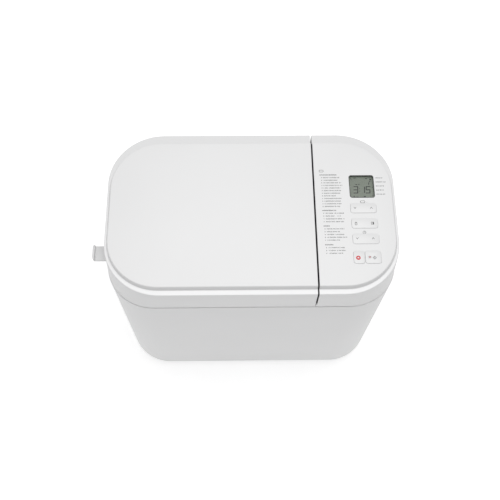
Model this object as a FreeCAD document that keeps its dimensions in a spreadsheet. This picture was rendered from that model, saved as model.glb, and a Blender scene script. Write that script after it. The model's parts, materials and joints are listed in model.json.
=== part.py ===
import FreeCAD, Part
import os
import re

import Sketcher

# A horizontal bread machine: a white case with a lid on the left over the baking chamber and a fixed
# control housing on the right over the motor. Millimetres. +Z is up, +X is to the right of a person who
# faces the machine, -Y is its front, and z = 0 is the table. Pieces are drawn about the case's own middle
# and then moved by half the cord hook's reach, so that the origin is under the middle of the whole.

sizes = (
    # the lower case
    ("body_width", 408, "lower case at the seam, left to right"),
    ("body_depth", 252, "lower case at the seam, front to back"),
    ("body_corner", 68, "corner radius of the lower case at the seam"),
    ("body_lean", 2, "how much each side leans in from the seam to the bottom"),
    ("base_round", 26, "rounding of the lower case's bottom edge"),
    ("seam_height", 308, "top of the lower case"),
    ("foot_height", 6, "underside of the lower case over the table"),
    ("wall", 2.8, "wall of the lower case"),
    ("fit_gap", 0.5, "room between a piece and the case that it drops into"),
    ("base_sheet", 2.5, "thickness of the bottom cover"),
    ("base_lap", 8, "how far the bottom cover lies on the case's lip"),
    ("vent_count", 9, "slots in one row of the bottom cover"),
    ("vent_pitch", 12, "slot to slot"),
    ("vent_width", 4, "width of a slot"),
    ("vent_length", 46, "length of a slot"),
    ("vent_place", 115, "row of slots to the right of the middle"),
    ("foot_radius", 12, "rubber foot"),
    ("foot_inset", 54, "foot's middle from the side of the case"),
    ("deck_drop", 8, "underside of the deck under the seam"),
    ("deck_sheet", 3, "thickness of the deck"),
    ("deck_window", 90, "opening of the deck under the control housing"),
    # the upper band, the ledge and the raised top
    ("seam_gap", 0.8, "groove between the lower case and the band"),
    ("band_width", "=body_width - 1.6", "band at the seam, left to right"),
    ("band_depth", "=body_depth - 1.6", "band at the seam, front to back"),
    ("band_corner", 67, "corner radius of the band at the seam"),
    ("rim_width", "=body_width - 2.5", "band at its rim, left to right"),
    ("rim_depth", "=body_depth - 3", "band at its rim, front to back"),
    ("rim_corner", 78, "corner radius of the rim"),
    ("rim_height", 354.7, "height of the ledge"),
    ("ledge_side", 3.6, "ledge at the left and right"),
    ("ledge_front", 7.8, "ledge at the front"),
    ("ledge_rear", 16, "ledge at the back"),
    ("top_corner", 73, "corner radius of the raised top"),
    ("top_height", 362, "height of the raised top"),
    ("top_draft", 1.5, "lean of the raised top's side"),
    ("top_round", 1.4, "rounding of the raised top's edge"),
    ("lid_wall", 2.6, "wall of the lid and of the control housing"),
    ("lid_gap", 2, "gap between the lid and the control housing"),
    ("gap_place", 88, "middle of that gap, right of the case's middle"),
    # the hinge at the back of the lid
    ("hinge_back", "=body_depth / 2 - 5", "hinge axis behind the middle"),
    ("hinge_rise", 6, "hinge axis over the seam"),
    ("hinge_barrel", 4.2, "outer radius of the hinge knuckles"),
    ("hinge_pin", 2, "radius of the hinge pins"),
    ("running_fit", 0.05, "room all round a pin or shaft that turns"),
    ("hinge_left", -118, "middle of the left hinge"),
    ("hinge_right", 52, "middle of the right hinge"),
    ("hinge_arm", 14, "width of the lid's hinge arm"),
    ("hinge_ear", 5, "width of one ear of the bracket"),
    ("hinge_play", 0.4, "room at each side of the hinge arm"),
    ("hinge_zone", 156, "left end of the raised skirt over the hinges"),
    ("skirt_lift", 6, "raised skirt over the hinge axis"),
    ("cover_lift", 3.4, "top of the hinge cover over the hinge axis"),
    # the lid's inside
    ("frame_width", "=chamber_width + 14", "inner frame of the lid, left to right"),
    ("frame_depth", "=chamber_depth + 12", "inner frame of the lid, front to back"),
    ("frame_wall", 3, "wall of the inner frame"),
    ("seal_height", 1.6, "lid seal"),
    ("seal_gap", 0.4, "room between the seal and the chamber's flange"),
    ("liner_height", 348, "underside of the lid's liner"),
    ("liner_sheet", 1.2, "sheet of the lid's liner"),
    ("steam_width", 64, "steam vent, left to right"),
    ("steam_height", 12, "steam vent, top to bottom"),
    ("steam_place", -58, "middle of the steam vent"),
    ("steam_slots", 7, "slots of the steam vent"),
    # the baking chamber
    ("chamber_place", -58, "middle of the chamber, from the case's middle"),
    ("chamber_width", 236, "chamber inside, left to right"),
    ("chamber_depth", 208, "chamber inside, front to back"),
    ("chamber_corner", 40, "corner radius of the chamber"),
    ("chamber_floor", 105, "height of the chamber's floor"),
    ("chamber_flange", 8, "flange of the chamber on the deck"),
    ("sheet_metal", 1, "sheet of the chamber and of the shields"),
    ("heater_radius", 3.5, "heating rod"),
    ("heater_inset", 14, "heating rod's middle from the chamber's wall"),
    ("heater_bend", 30, "corner bend of the heating rod"),
    ("heater_rise", 32, "heating rod over the chamber's floor"),
    ("heater_split", 14, "each cold end from the middle"),
    ("heater_turn", 9, "bend of the heating rod towards its cold ends"),
    ("heater_tail", 16, "cold end outside the chamber"),
    ("sensor_rise", 75, "temperature probe over the chamber's floor"),
    ("sensor_radius", 3, "temperature probe"),
    ("shield_place", 76, "heat shield, right of the case's middle"),
    # the pan
    ("pan_width", "=chamber_width - 46", "pan at its rim, left to right"),
    ("pan_depth", "=chamber_depth - 74", "pan at its rim, front to back"),
    ("pan_corner", 34, "corner radius of the pan"),
    ("pan_draft", 5, "how much each side of the pan leans in"),
    ("pan_wall", 1.6, "wall of the pan"),
    ("pan_bottom", 25, "underside of the pan over the chamber's floor"),
    ("pan_height", 142, "height of the pan"),
    ("pan_lip", 3, "lip round the pan's rim"),
    ("ring_radius", 40, "outer radius of the pan's foot ring"),
    ("ring_wall", 3, "wall of the pan's foot ring"),
    ("lug_reach", 3.2, "how far a lug stands out of the foot ring"),
    ("lug_angle", 10, "width of a lug, in degrees"),
    ("claw_angle", 12, "width of a claw, in degrees"),
    ("lug_height", 3, "height of a lug"),
    ("bayonet_gap", 0.5, "room between the lugs and the claws"),
    ("mount_wall", 3, "wall of the ring that holds the pan"),
    # the pan's handle
    ("pivot_drop", 14, "handle's pivots under the pan's rim"),
    ("handle_arm", 78, "pivot to the handle's bar"),
    ("handle_strip", 2.5, "thickness of the handle's arms"),
    ("handle_width", 8, "width of the handle's arms"),
    ("bar_radius", 3, "handle's bar"),
    ("grip_radius", 5, "grip on the handle's bar"),
    ("grip_length", 70, "length of the grip"),
    ("stud_radius", 2.5, "pivot stud of the handle"),
    # the drive
    ("shaft_radius", 4, "drive shaft, pan shaft and motor shaft"),
    ("press_gap", 0.02, "room round a piece fixed on a shaft or in a bore"),
    ("bush_radius", 8, "outer radius of the drive shaft's bushes"),
    ("bush_length", 6, "length of a bush"),
    ("bearing_radius", 14, "tube of the bearing housing"),
    ("bearing_flange", 26, "flange of the bearing housing"),
    ("bearing_sheet", 4, "thickness of that flange"),
    ("bush_wall", 6, "wall of the pan's bush"),
    ("blade_reach", 44, "kneading blade from the shaft's axis"),
    ("blade_height", 18, "height of the kneading blade"),
    ("blade_sheet", 5, "thickness of the kneading blade's vane"),
    ("wing_reach", 13, "wing of the pan's coupler from the axis"),
    ("wing_width", 8, "width of the wing and of the driving dogs"),
    ("chassis_height", 92, "underside of the chassis plate"),
    ("chassis_sheet", 2, "thickness of the chassis plate"),
    ("chassis_left", -140, "left end of the chassis plate"),
    ("chassis_right", 190, "right end of the chassis plate"),
    ("chassis_depth", 140, "chassis plate, front to back"),
    ("pillar_radius", 6, "pillars and spacers"),
    ("pulley_height", 74, "underside of the two pulleys"),
    ("pulley_width", 13, "height of a pulley"),
    ("flange_sheet", 1.5, "flange of a pulley"),
    ("pulley_radius", 55, "running radius of the large pulley"),
    ("pinion_radius", 8, "running radius of the motor's pulley"),
    ("flange_reach", 2.6, "flange over the running radius"),
    ("belt_sheet", 2.2, "thickness of the belt"),
    ("belt_width", 9, "width of the belt"),
    ("belt_gap", 0.15, "room between the belt and a pulley"),
    ("motor_place", 137, "motor shaft, right of the case's middle"),
    ("motor_width", 74, "motor core, left to right"),
    ("motor_depth", 64, "motor core, front to back"),
    ("motor_rise", 3, "motor's lower bracket over the chassis plate"),
    ("core_height", 40, "height of the motor's core"),
    ("bore_radius", 22, "bore of the motor's core"),
    ("air_gap", 0.6, "air gap round the rotor"),
    ("winding_height", 5, "winding over the core"),
    ("fan_radius", 30, "cooling fan"),
    ("coupling_height", 7, "height of the driving dogs"),
    # the controls
    ("panel_place", 155.6, "middle of the column of keys"),
    ("window_width", 35.3, "display window, left to right"),
    ("window_depth", 36, "display window, front to back"),
    ("window_back", 34.7, "middle of the window behind the case's middle"),
    ("window_sheet", 1.8, "thickness of the window"),
    ("window_fit", 0.15, "room round the window"),
    ("rocker_width", 36, "rocker key, left to right"),
    ("rocker_depth", 15, "rocker key, front to back"),
    ("rocker_corner", 3.5, "corner radius of the keys"),
    ("rocker_back", 0.5, "middle of the rear rocker"),
    ("rocker_pitch", 23.5, "rocker to rocker"),
    ("key_proud", 0.6, "keys over the raised top"),
    ("key_sheet", 2.7, "thickness of the keys"),
    ("key_fit", 0.4, "room round a key"),
    ("key_front", -73.8, "middle of the two square keys"),
    ("key_depth", 18.6, "square keys, front to back"),
    ("stop_width", 15, "stop key, left to right"),
    ("start_width", 21.4, "start key, left to right"),
    ("key_split", 0.9, "gap between the two square keys"),
    ("trunnion_drop", 4.6, "rocker's axis under the raised top"),
    ("trunnion_radius", 1.2, "rocker's trunnion"),
    ("trunnion_reach", 2.6, "trunnion beyond the rocker"),
    ("plunger_arm", 12, "rocker's axis to a plunger"),
    ("plunger_radius", 1.8, "plunger under a key"),
    ("plunger_foot", 9, "foot of the plungers under the raised top"),
    ("switch_room", 0.7, "plunger's foot to the switch"),
    ("switch_side", 6, "side of a tactile switch"),
    ("switch_height", 3.5, "height of a tactile switch"),
    ("switch_button", 1.2, "button of a tactile switch"),
    ("board_sheet", 1.6, "circuit boards"),
    ("board_width", 74, "control board, left to right"),
    ("board_shift", 10, "middle of the control board, left of the keys' middle"),
    ("board_depth", 160, "control board, front to back"),
    ("lamp_radius", 1.2, "lamp in the start key"),
    ("lamp_side", 8.6, "lamp left of the start key's right half"),
    # the outside fittings
    ("hook_reach", 23, "cord hook, out of the left side"),
    ("hook_width", 22.6, "cord hook, front to back"),
    ("hook_place", -39.8, "middle of the cord hook"),
    ("hook_top", 303, "top of the cord hook's arm"),
    ("hook_sheet", 3, "thickness of the cord hook"),
    ("hook_plate", 30, "height of the cord hook's plate"),
    ("hook_lip", 6, "lip of the cord hook over its arm"),
    ("hook_corner", 3.5, "cut corners of the cord hook"),
    ("inlet_place", 128, "cord inlet, right of the case's middle"),
    ("inlet_height", 44, "height of the cord inlet"),
    ("inlet_bore", 3.6, "radius of the hole for the cord"),
    ("inlet_radius", 7.5, "radius of the inlet where it passes the wall"),
    ("inlet_flange", 10, "radius of the inlet's flange"),
    ("inlet_length", 16, "length of the inlet"),
    ("inlet_proud", 2, "inlet out of the back wall"),
    ("screw_radius", 1.5, "shank of the screws"),
    ("screw_head", 3, "head of the screws"),
    ("screw_cap", 2, "height of a screw's head"),
    ("post_radius", 4, "posts under the raised top"),
    # the supply board behind the motor
    ("supply_left", 100, "left end of the supply board"),
    ("supply_right", 180, "right end of the supply board"),
    ("supply_back", 88, "front face of the supply board behind the middle"),
    ("supply_low", 190, "lower edge of the supply board"),
    ("supply_high", 285, "upper edge of the supply board"),
    ("bracket_sheet", 1.2, "sheet of the supply board's bracket"),
    ("bracket_shelf", 150, "height of the bracket's shelf"),
    ("bracket_reach", 27.2, "bracket's leg in front of the supply board"),
)

doc = FreeCAD.newDocument("BreadMachine")
sheet = doc.addObject("Spreadsheet::Sheet", "Sizes")
named = {row[0] for row in sizes}
sub_parts = []


def fill_sheet():
    for line, (alias, value, note) in enumerate(sizes, 1):
        sheet.set(f"A{line}", alias)
        sheet.set(f"B{line}", str(value))
        sheet.set(f"C{line}", note)
        sheet.setAlias(f"B{line}", alias)
    doc.recompute()


# ---- small helpers: every size is an expression over the names of the sheet


def bound(text):
    return re.sub(r"[a-z][a-z_]*", lambda w: "Sizes." + w[0] if w[0] in named else w[0], text)


def number(text):
    return float(sheet.evalExpression(text))


def bind(thing, name, text):
    thing.setExpression(name, bound(text))


def place(thing, x="0", y="0", z="0"):
    for axis, text in zip("xyz", (x, y, z)):
        bind(thing, f".Placement.Base.{axis}", text)
    return thing


def sub_part(thing, label):
    """Name a finished piece and move it from the case's frame to the object's."""
    own = dict(thing.ExpressionEngine).get(".Placement.Base.x", "0")
    thing.setExpression(".Placement.Base.x", f"({own}) + Sizes.hook_reach / 2")
    thing.Label = label
    sub_parts.append(thing)


def block(name, x, y, z):
    """A box between two limits on each axis."""
    thing = doc.addObject("Part::Box", name)
    for side, (low, high) in zip(("Length", "Width", "Height"), (x, y, z)):
        bind(thing, side, f"({high}) - ({low})")
    return place(thing, x[0], y[0], z[0])


turns = {
    "x": FreeCAD.Rotation(FreeCAD.Vector(0, 1, 0), 90),
    "y": FreeCAD.Rotation(FreeCAD.Vector(1, 0, 0), -90),
    "z": FreeCAD.Rotation(),
}


def rod(name, start, radius, length, along="z"):
    """A cylinder from the middle of its lower end."""
    thing = doc.addObject("Part::Cylinder", name)
    thing.Placement.Rotation = turns[along]
    bind(thing, "Radius", radius)
    bind(thing, "Height", length)
    return place(thing, *start)


def fuse(name, *things):
    if len(things) == 1:
        return things[0]
    thing = doc.addObject("Part::MultiFuse", name)
    thing.Shapes = list(things)
    return thing


def cut(name, base, *tools):
    thing = doc.addObject("Part::Cut", name)
    thing.Base = base
    thing.Tool = fuse(name + "_tools", *tools)
    return thing


def common(name, *things):
    thing = doc.addObject("Part::MultiCommon", name)
    thing.Shapes = list(things)
    return thing


def group(name, things):
    thing = doc.addObject("Part::Compound", name)
    thing.Links = list(things)
    return thing


def tube(name, start, outer, inner, length, along="z"):
    return cut(name, rod(name + "_outer", start, outer, length, along),
               rod(name + "_bore", start, inner, length, along))


def both(text):
    """The limits of something centred on zero."""
    return (f"-({text}) / 2", f"({text}) / 2")


def about(middle, text):
    return (f"{middle} - ({text}) / 2", f"{middle} + ({text}) / 2")


# ---- sketches and the features made from them


def sketch_on(body, role="XY_Plane", offset="0"):
    sketch = body.newObject("Sketcher::SketchObject", body.Name + "_sketch")
    plane = next(item for item in body.Origin.OriginFeatures if item.Role == role)
    sketch.AttachmentSupport = [(plane, "")]
    sketch.MapMode = "FlatFace"
    bind(sketch, ".AttachmentOffset.Base.z", offset)
    return sketch


def pin_point(sketch, item, point, x, y):
    """Tie a point of a sketch to two expressions, measured from the sketch's origin."""
    for kind, text in (("DistanceX", x), ("DistanceY", y)):
        line = sketch.addConstraint(Sketcher.Constraint(kind, -1, 1, item, point, number(text)))
        bind(sketch, f"Constraints[{line}]", text)


def draw_outline(sketch, points):
    """A closed outline of straight lines through points given as expressions."""
    spots = [FreeCAD.Vector(number(x), number(y), 0) for x, y in points]
    lines = []
    for here, there in zip(spots, spots[1:] + spots[:1]):
        lines.append(sketch.addGeometry(Part.LineSegment(here, there), False))
    for line, following in zip(lines, lines[1:] + lines[:1]):
        sketch.addConstraint(Sketcher.Constraint("Coincident", line, 2, following, 1))
    for line, (x, y) in zip(lines, points):
        pin_point(sketch, line, 1, x, y)


def draw_rounded(sketch, width, depth, corner, middle=("0", "0")):
    """A rectangle with round corners, drawn anticlockwise from its front edge."""
    half_w, half_d, bend = number(width) / 2, number(depth) / 2, number(corner)
    mid = FreeCAD.Vector(number(middle[0]), number(middle[1]), 0)
    up = FreeCAD.Vector(0, 0, 1)
    right_angle = Part.Circle().LastParameter / 4
    signs = ((1, -1), (1, 1), (-1, 1), (-1, -1))
    centres = [mid + FreeCAD.Vector(sx * (half_w - bend), sy * (half_d - bend), 0) for sx, sy in signs]
    outward = [FreeCAD.Vector(x, y, 0) * bend for x, y in ((0, -1), (1, 0), (0, 1), (-1, 0))]
    items = []
    for side in range(4):
        start = centres[side - 1] + outward[side]
        end = centres[side] + outward[side]
        items.append(sketch.addGeometry(Part.LineSegment(start, end), False))
        turn = (side - 1) * right_angle
        arc = Part.ArcOfCircle(Part.Circle(centres[side], up, bend), turn, turn + right_angle)
        items.append(sketch.addGeometry(arc, False))
    for item, following in zip(items, items[1:] + items[:1]):
        sketch.addConstraint(Sketcher.Constraint("Tangent", item, 2, following, 1))
    for line, kind in zip(items[0::2], ("Horizontal", "Vertical", "Horizontal", "Vertical")):
        sketch.addConstraint(Sketcher.Constraint(kind, line))
    for arc in items[3::2]:
        sketch.addConstraint(Sketcher.Constraint("Equal", items[1], arc))
    line = sketch.addConstraint(Sketcher.Constraint("Radius", items[1], bend))
    bind(sketch, f"Constraints[{line}]", corner)
    reach_x, reach_y = f"(({width}) / 2 - ({corner}))", f"(({depth}) / 2 - ({corner}))"
    pin_point(sketch, items[3], 3, f"{middle[0]} + {reach_x}", f"{middle[1]} + {reach_y}")
    pin_point(sketch, items[7], 3, f"{middle[0]} - {reach_x}", f"{middle[1]} - {reach_y}")


def pad(body, sketch, length, symmetric=False):
    feature = body.newObject("PartDesign::Pad", body.Name + "_pad")
    feature.Profile = sketch
    if symmetric:
        feature.SideType = "Symmetric"
    bind(feature, "Length", length)
    return feature


def pocket(body, sketch, length):
    """A pocket that goes up from its sketch, into the solid."""
    feature = body.newObject("PartDesign::Pocket", body.Name + "_pocket")
    feature.Profile = sketch
    feature.Reversed = True
    bind(feature, "Length", length)
    before = body.Tip.BaseFeature.Shape.Volume if body.Tip.BaseFeature else 0
    doc.recompute()
    if before and feature.Shape.Volume > before - 0.1:
        raise RuntimeError(body.Name + ": a pocket cut nothing")
    return feature


def new_body(name):
    return doc.addObject("PartDesign::Body", name)


def rounded_plate(name, width, depth, corner, z, middle=("0", "0")):
    """A flat plate with round corners between two heights."""
    body = new_body(name)
    sketch = sketch_on(body)
    draw_rounded(sketch, width, depth, corner, middle)
    pad(body, sketch, f"({z[1]}) - ({z[0]})")
    return place(body, z=z[0])


def lofted(name, *sections):
    """A body through rounded rectangles: each is height, width, depth, corner and middle in Y."""
    body = new_body(name)
    drawn = []
    for height, width, depth, corner, middle in sections:
        sketch = sketch_on(body, offset=height)
        draw_rounded(sketch, width, depth, corner, ("0", middle))
        drawn.append(sketch)
    feature = body.newObject("PartDesign::AdditiveLoft", name + "_loft")
    feature.Profile = drawn[0]
    feature.Sections = drawn[1:]
    feature.Ruled = True
    return body


def tapered(body, sketch, length, lean):
    """A pad whose sides lean out by one amount over its length."""
    feature = pad(body, sketch, length)
    bind(feature, "TaperAngle", f"atan(({lean}) / ({length}))")
    return feature


def round_level(body, height, radius):
    """Round the edges of a body that lie at one height."""
    doc.recompute()
    level = number(height)
    base = body.Tip
    names = []
    for index, edge in enumerate(base.Shape.Edges, 1):
        box = edge.BoundBox
        if abs(box.ZMin - level) < 0.01 and abs(box.ZMax - level) < 0.01:
            names.append(f"Edge{index}")
    feature = body.newObject("PartDesign::Fillet", body.Name + "_round")
    feature.Base = (base, names)
    bind(feature, "Radius", radius)


def turned(name, *points):
    """A body of revolution about Z through points of radius and height."""
    body = new_body(name)
    sketch = sketch_on(body, "XZ_Plane")
    draw_outline(sketch, points)
    feature = body.newObject("PartDesign::Revolution", name + "_turn")
    feature.Profile = sketch
    feature.ReferenceAxis = (sketch, ["V_Axis"])
    feature.Angle = 360
    return body


def drawn_plate(name, role, points, length):
    """An outline on one of the body's planes, padded the same way to both sides."""
    body = new_body(name)
    sketch = sketch_on(body, role)
    draw_outline(sketch, points)
    pad(body, sketch, length, symmetric=True)
    return body


# ---- heights that several pieces share

deck_low = "(seam_height - deck_drop)"
deck_top = f"({deck_low} + deck_sheet)"
base_width = "(body_width - 2 * body_lean)"
base_depth = "(body_depth - 2 * body_lean)"
base_low = "(foot_height + wall)"
base_top = f"({base_low} + base_sheet)"
hinge_z = "(seam_height + hinge_rise)"
gap_left = "(gap_place - lid_gap / 2)"
gap_right = "(gap_place + lid_gap / 2)"
flange_top = f"({deck_top} + sheet_metal)"
chassis_top = "(chassis_height + chassis_sheet)"
pan_low = "(chamber_floor + pan_bottom)"
pan_top = f"({pan_low} + pan_height)"
pivot_z = f"({pan_top} - pivot_drop)"
core_low = f"({chassis_top} + motor_rise + 2 + winding_height)"
core_top = f"({core_low} + core_height)"
pulley_top = "(pulley_height + pulley_width)"
key_low = "(top_height + key_proud - key_sheet)"
plunger_low = "(top_height - plunger_foot)"
board_low = f"({plunger_low} - switch_room - switch_button - switch_height - board_sheet)"
board_top = f"({board_low} + board_sheet)"
coupler_low = "(chamber_floor + 3.5)"
dog_low = f"({coupler_low} + 4.5)"
dog_top = f"({dog_low} + coupling_height)"
chamber = ("chamber_place", "0")


# ---- the lower case and what closes it


def leaning(name, inset, z):
    """The lower case's form, set in by an inset, with its bottom edge rounded."""
    body = new_body(name)
    sketch = sketch_on(body, offset=z[0])
    draw_rounded(sketch, f"{base_width} - 2 * {inset}", f"{base_depth} - 2 * {inset}",
                 f"body_corner - body_lean - {inset}")
    tapered(body, sketch, f"({z[1]}) - ({z[0]})", "body_lean")
    round_level(body, z[0], f"base_round - {inset}")
    return body


def body_shell():
    outer = leaning("case_outer", "0", ("foot_height", "seam_height"))
    inner = leaning("case_inner", "wall", (base_low, "seam_height + 1"))
    opening = rounded_plate("case_opening", f"{base_width} - 2 * (base_round + base_lap + 2)",
                            f"{base_depth} - 2 * (base_round + base_lap + 2)",
                            "body_corner - body_lean - base_round - base_lap - 2",
                            ("foot_height - 1", "base_round"))
    inlet = rod("case_inlet", ("inlet_place", "0", "inlet_height"), "inlet_radius", "body_depth", "y")
    sub_part(cut("case_shell", outer, inner, opening, inlet, *case_screw_holes()), "body_shell")


def base_plate():
    body = new_body("bottom")
    sketch = sketch_on(body)
    draw_rounded(sketch, f"{base_width} - 2 * (base_round + 2)", f"{base_depth} - 2 * (base_round + 2)",
                 "body_corner - body_lean - base_round - 2")
    pad(body, sketch, "base_sheet")
    doc.recompute()
    slot = sketch_on(body)
    first = "vent_place - (vent_count - 1) / 2 * vent_pitch"
    left, right = f"{first} - vent_width / 2", f"{first} + vent_width / 2"
    front, back = both("vent_length")
    draw_outline(slot, ((left, front), (right, front), (right, back), (left, back)))
    cutter = pocket(body, slot, "base_sheet")
    row = body.newObject("PartDesign::LinearPattern", "vent_row")
    row.Originals = [cutter]
    row.Direction = (slot, ["H_Axis"])
    bind(row, "Length", "(vent_count - 1) * vent_pitch")
    bind(row, "Occurrences", "vent_count")
    body.Tip = row
    place(body, z=base_low)
    bottom = fuse("bottom_solid", body, *base_pillars())
    sub_part(cut("bottom_drilled", bottom, *case_screw_holes()), "base_plate")


def four_places(across, along):
    for sx in ("-", ""):
        for sy in ("-", ""):
            yield f"{sx}({across})", f"{sy}({along})"


def foot_pads():
    feet = []
    for x, y in four_places(f"{base_width} / 2 - foot_inset", f"{base_depth} / 2 - foot_inset"):
        foot = turned("foot", ("0", "0"), ("foot_radius - 1.5", "0"), ("foot_radius", "1.5"),
                      ("foot_radius", base_low), ("0", base_low))
        feet.append(place(foot, x, y))
    sub_part(group("feet", feet), "foot_pads")


def case_screws():
    screws = []
    for x, y in case_screw_places():
        screws.append(screw(x, y, "foot_height", down=False, length="wall + base_sheet + 1.5"))
    sub_part(group("base_screws", screws), "case_screws")


def case_screw_places():
    return four_places(f"{base_width} / 2 - base_round - base_lap + 2", "30")


def case_screw_holes():
    """The holes for the screws that go up through the case's lip into the bottom cover."""
    return [rod("case_screw_hole", (x, y, "0"), "screw_radius + 0.1", base_low + " + base_sheet + 2")
            for x, y in case_screw_places()]


def screw(x, y, z, down, length="6"):
    """A pan-head screw whose head sits on z, with its shank below it (down) or above it."""
    body = turned("screw", ("0", f"-({length})"), ("screw_radius", f"-({length})"), ("screw_radius", "0"),
                  ("screw_head", "0"), ("screw_head", "screw_cap * 0.6"),
                  ("screw_head * 0.6", "screw_cap"), ("0", "screw_cap"))
    if not down:
        body.Placement.Rotation = FreeCAD.Rotation(FreeCAD.Vector(1, 0, 0), 180)
    return place(body, x, y, z)


def cord_hook():
    wall_side = "-body_width / 2"
    tip = "-body_width / 2 - hook_reach"
    body = drawn_plate("hook", "XZ_Plane", (
        (wall_side, "hook_top - hook_plate"),
        (wall_side, "hook_top"),
        (f"{tip} + hook_sheet", "hook_top"),
        (f"{tip} + hook_sheet", "hook_top + hook_lip"),
        (tip, "hook_top + hook_lip"),
        (tip, "hook_top - hook_sheet"),
        (f"{wall_side} - hook_sheet", "hook_top - hook_sheet"),
        (f"{wall_side} - hook_sheet", "hook_top - hook_plate")), "hook_width")
    doc.recompute()
    base = body.Tip
    level = number(tip)
    names = [f"Edge{i}" for i, edge in enumerate(base.Shape.Edges, 1)
             if edge.BoundBox.XMax < level + 0.01 and edge.BoundBox.YLength < 0.01]
    feature = body.newObject("PartDesign::Fillet", "hook_corners")
    feature.Base = (base, names)
    bind(feature, "Radius", "hook_corner")
    sub_part(place(body, y="hook_place"), "cord_hook")


def cord_inlet():
    outside = "(body_depth / 2 + inlet_proud)"
    back = f"({outside} - inlet_length)"
    sleeve = rod("inlet_sleeve", ("inlet_place", back, "inlet_height"), "inlet_radius - fit_gap",
                 "inlet_length", "y")
    nut = rod("inlet_nut", ("inlet_place", f"{back} + 4", "inlet_height"), "inlet_flange", "4", "y")
    bore = rod("inlet_hole", ("inlet_place", f"{back} - 1", "inlet_height"), "inlet_bore",
               "inlet_length + 2", "y")
    sub_part(cut("inlet", fuse("inlet_solid", sleeve, nut), bore), "cord_gland")


def top_deck():
    plate = rounded_plate("deck_plate", "body_width - 2 * wall - 2 * fit_gap",
                          "body_depth - 2 * wall - 2 * fit_gap", "body_corner - wall - fit_gap",
                          (deck_low, deck_top))
    mouth = rounded_plate("deck_mouth", "chamber_width + 2 * (sheet_metal + fit_gap)",
                          "chamber_depth + 2 * (sheet_metal + fit_gap)",
                          "chamber_corner + sheet_metal + fit_gap",
                          (f"{deck_low} - 1", f"{deck_top} + 1"), chamber)
    window = block("deck_wiring", about("motor_place", "deck_window"), both("deck_window"),
                   (f"{deck_low} - 1", f"{deck_top} + 1"))
    sub_part(cut("deck", plate, mouth, window), "top_deck")


# ---- the band, ledge and raised top, shared by the lid and the control housing


def upper_form(name, inset, low, ledge, top):
    """The upper housing's form, set in by an inset, as a solid from the seam to the raised top."""
    twice = f"2 * {inset}"
    band = lofted(name,
                  (low, f"band_width - {twice}", f"band_depth - {twice}", f"band_corner - {inset}", "0"),
                  (ledge, f"rim_width - {twice}", f"rim_depth - {twice}", f"rim_corner - {inset}", "0"))
    width = f"rim_width - 2 * (ledge_side + {inset})"
    depth = f"rim_depth - ledge_front - ledge_rear - 2 * {inset}"
    middle = "(ledge_front - ledge_rear) / 2"
    foot = ledge if inset == "0" else f"{ledge} - 1"
    drawn = []
    for height, lean in ((foot, "0"), (top, "top_draft")):
        sketch = sketch_on(band, offset=height)
        draw_rounded(sketch, f"{width} - 2 * {lean}", f"{depth} - 2 * {lean}",
                     f"top_corner - {inset} - {lean}", ("0", middle))
        drawn.append(sketch)
    feature = band.newObject("PartDesign::AdditiveLoft", name + "_raised")
    feature.Profile = drawn[0]
    feature.Sections = drawn[1:]
    feature.Ruled = True
    return band


def outer_form(name):
    form = upper_form(name, "0", "seam_height + seam_gap", "rim_height", "top_height")
    round_level(form, "top_height", "top_round")
    return form


def inner_form(name):
    return upper_form(name, "lid_wall", "seam_height - 1", "rim_height - lid_wall", "top_height - lid_wall")


wide = ("-body_depth", "body_depth")
tall = ("0", "2 * top_height")


def steam_slots(name, room):
    """The upright slots of the steam vent, or with room = its frame's opening."""
    return block(name, about("steam_place", f"steam_width + 2 * {room}"), ("hinge_back - 12", "body_depth"),
                 (f"rim_height - 10 - steam_height - {room}", f"rim_height - 10 + {room}"))


def lid_cover():
    left = ("-body_width", gap_left)
    solid = common("lid_solid", outer_form("lid_outer"), block("lid_side", left, wide, tall))
    hollow = common("lid_hollow", inner_form("lid_inner"),
                    block("lid_room", ("-body_width", f"{gap_left} - lid_wall"), wide, tall))
    hinges = block("lid_hinge_room", ("-hinge_zone", f"{gap_left} + 1"),
                   ("hinge_back - 12", "body_depth"), ("0", f"{hinge_z} + skirt_lift"))
    shell = cut("lid_shell", solid, hollow, hinges, steam_slots("lid_vent_room", "0"))
    posted = fuse("lid_posted", shell, *lid_posts())
    sub_part(cut("lid_drilled", posted, *lid_screw_holes("9.2")), "lid_cover")


def steam_vent():
    """A comb of bars that closes the opening in the back of the lid."""
    low, high = "rim_height - 10 - steam_height + 0.15", "rim_height - 10.15"
    frame = block("vent_plate", about("steam_place", "steam_width - 0.3"),
                  ("rim_depth / 2 - lid_wall + 0.4", "rim_depth / 2 - 0.2"), (low, high))
    slots = []
    for index in range(int(number("steam_slots"))):
        middle = f"(steam_place + ({index} - (steam_slots - 1) / 2) * steam_width / steam_slots)"
        slots.append(block("vent_slot", about(middle, "steam_width / steam_slots - 4"),
                           ("hinge_back", "body_depth"), (f"{low} + 2", f"{high} - 2")))
    sub_part(cut("vent", frame, *slots), "steam_vent")


def lid_frame():
    """The deep frame inside the lid, which closes round the chamber's mouth."""
    low = f"({flange_top} + seal_gap + seal_height)"
    high = "rim_height - lid_wall - 0.1"
    outer = rounded_plate("frame_outer", "frame_width", "frame_depth", "chamber_corner + 4",
                          (low, high), chamber)
    inner = rounded_plate("frame_inner", "frame_width - 2 * frame_wall", "frame_depth - 2 * frame_wall",
                          "chamber_corner + 4 - frame_wall", (f"{low} - 1", f"{high} + 1"), chamber)
    sub_part(cut("frame", outer, inner), "lid_frame")


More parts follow.
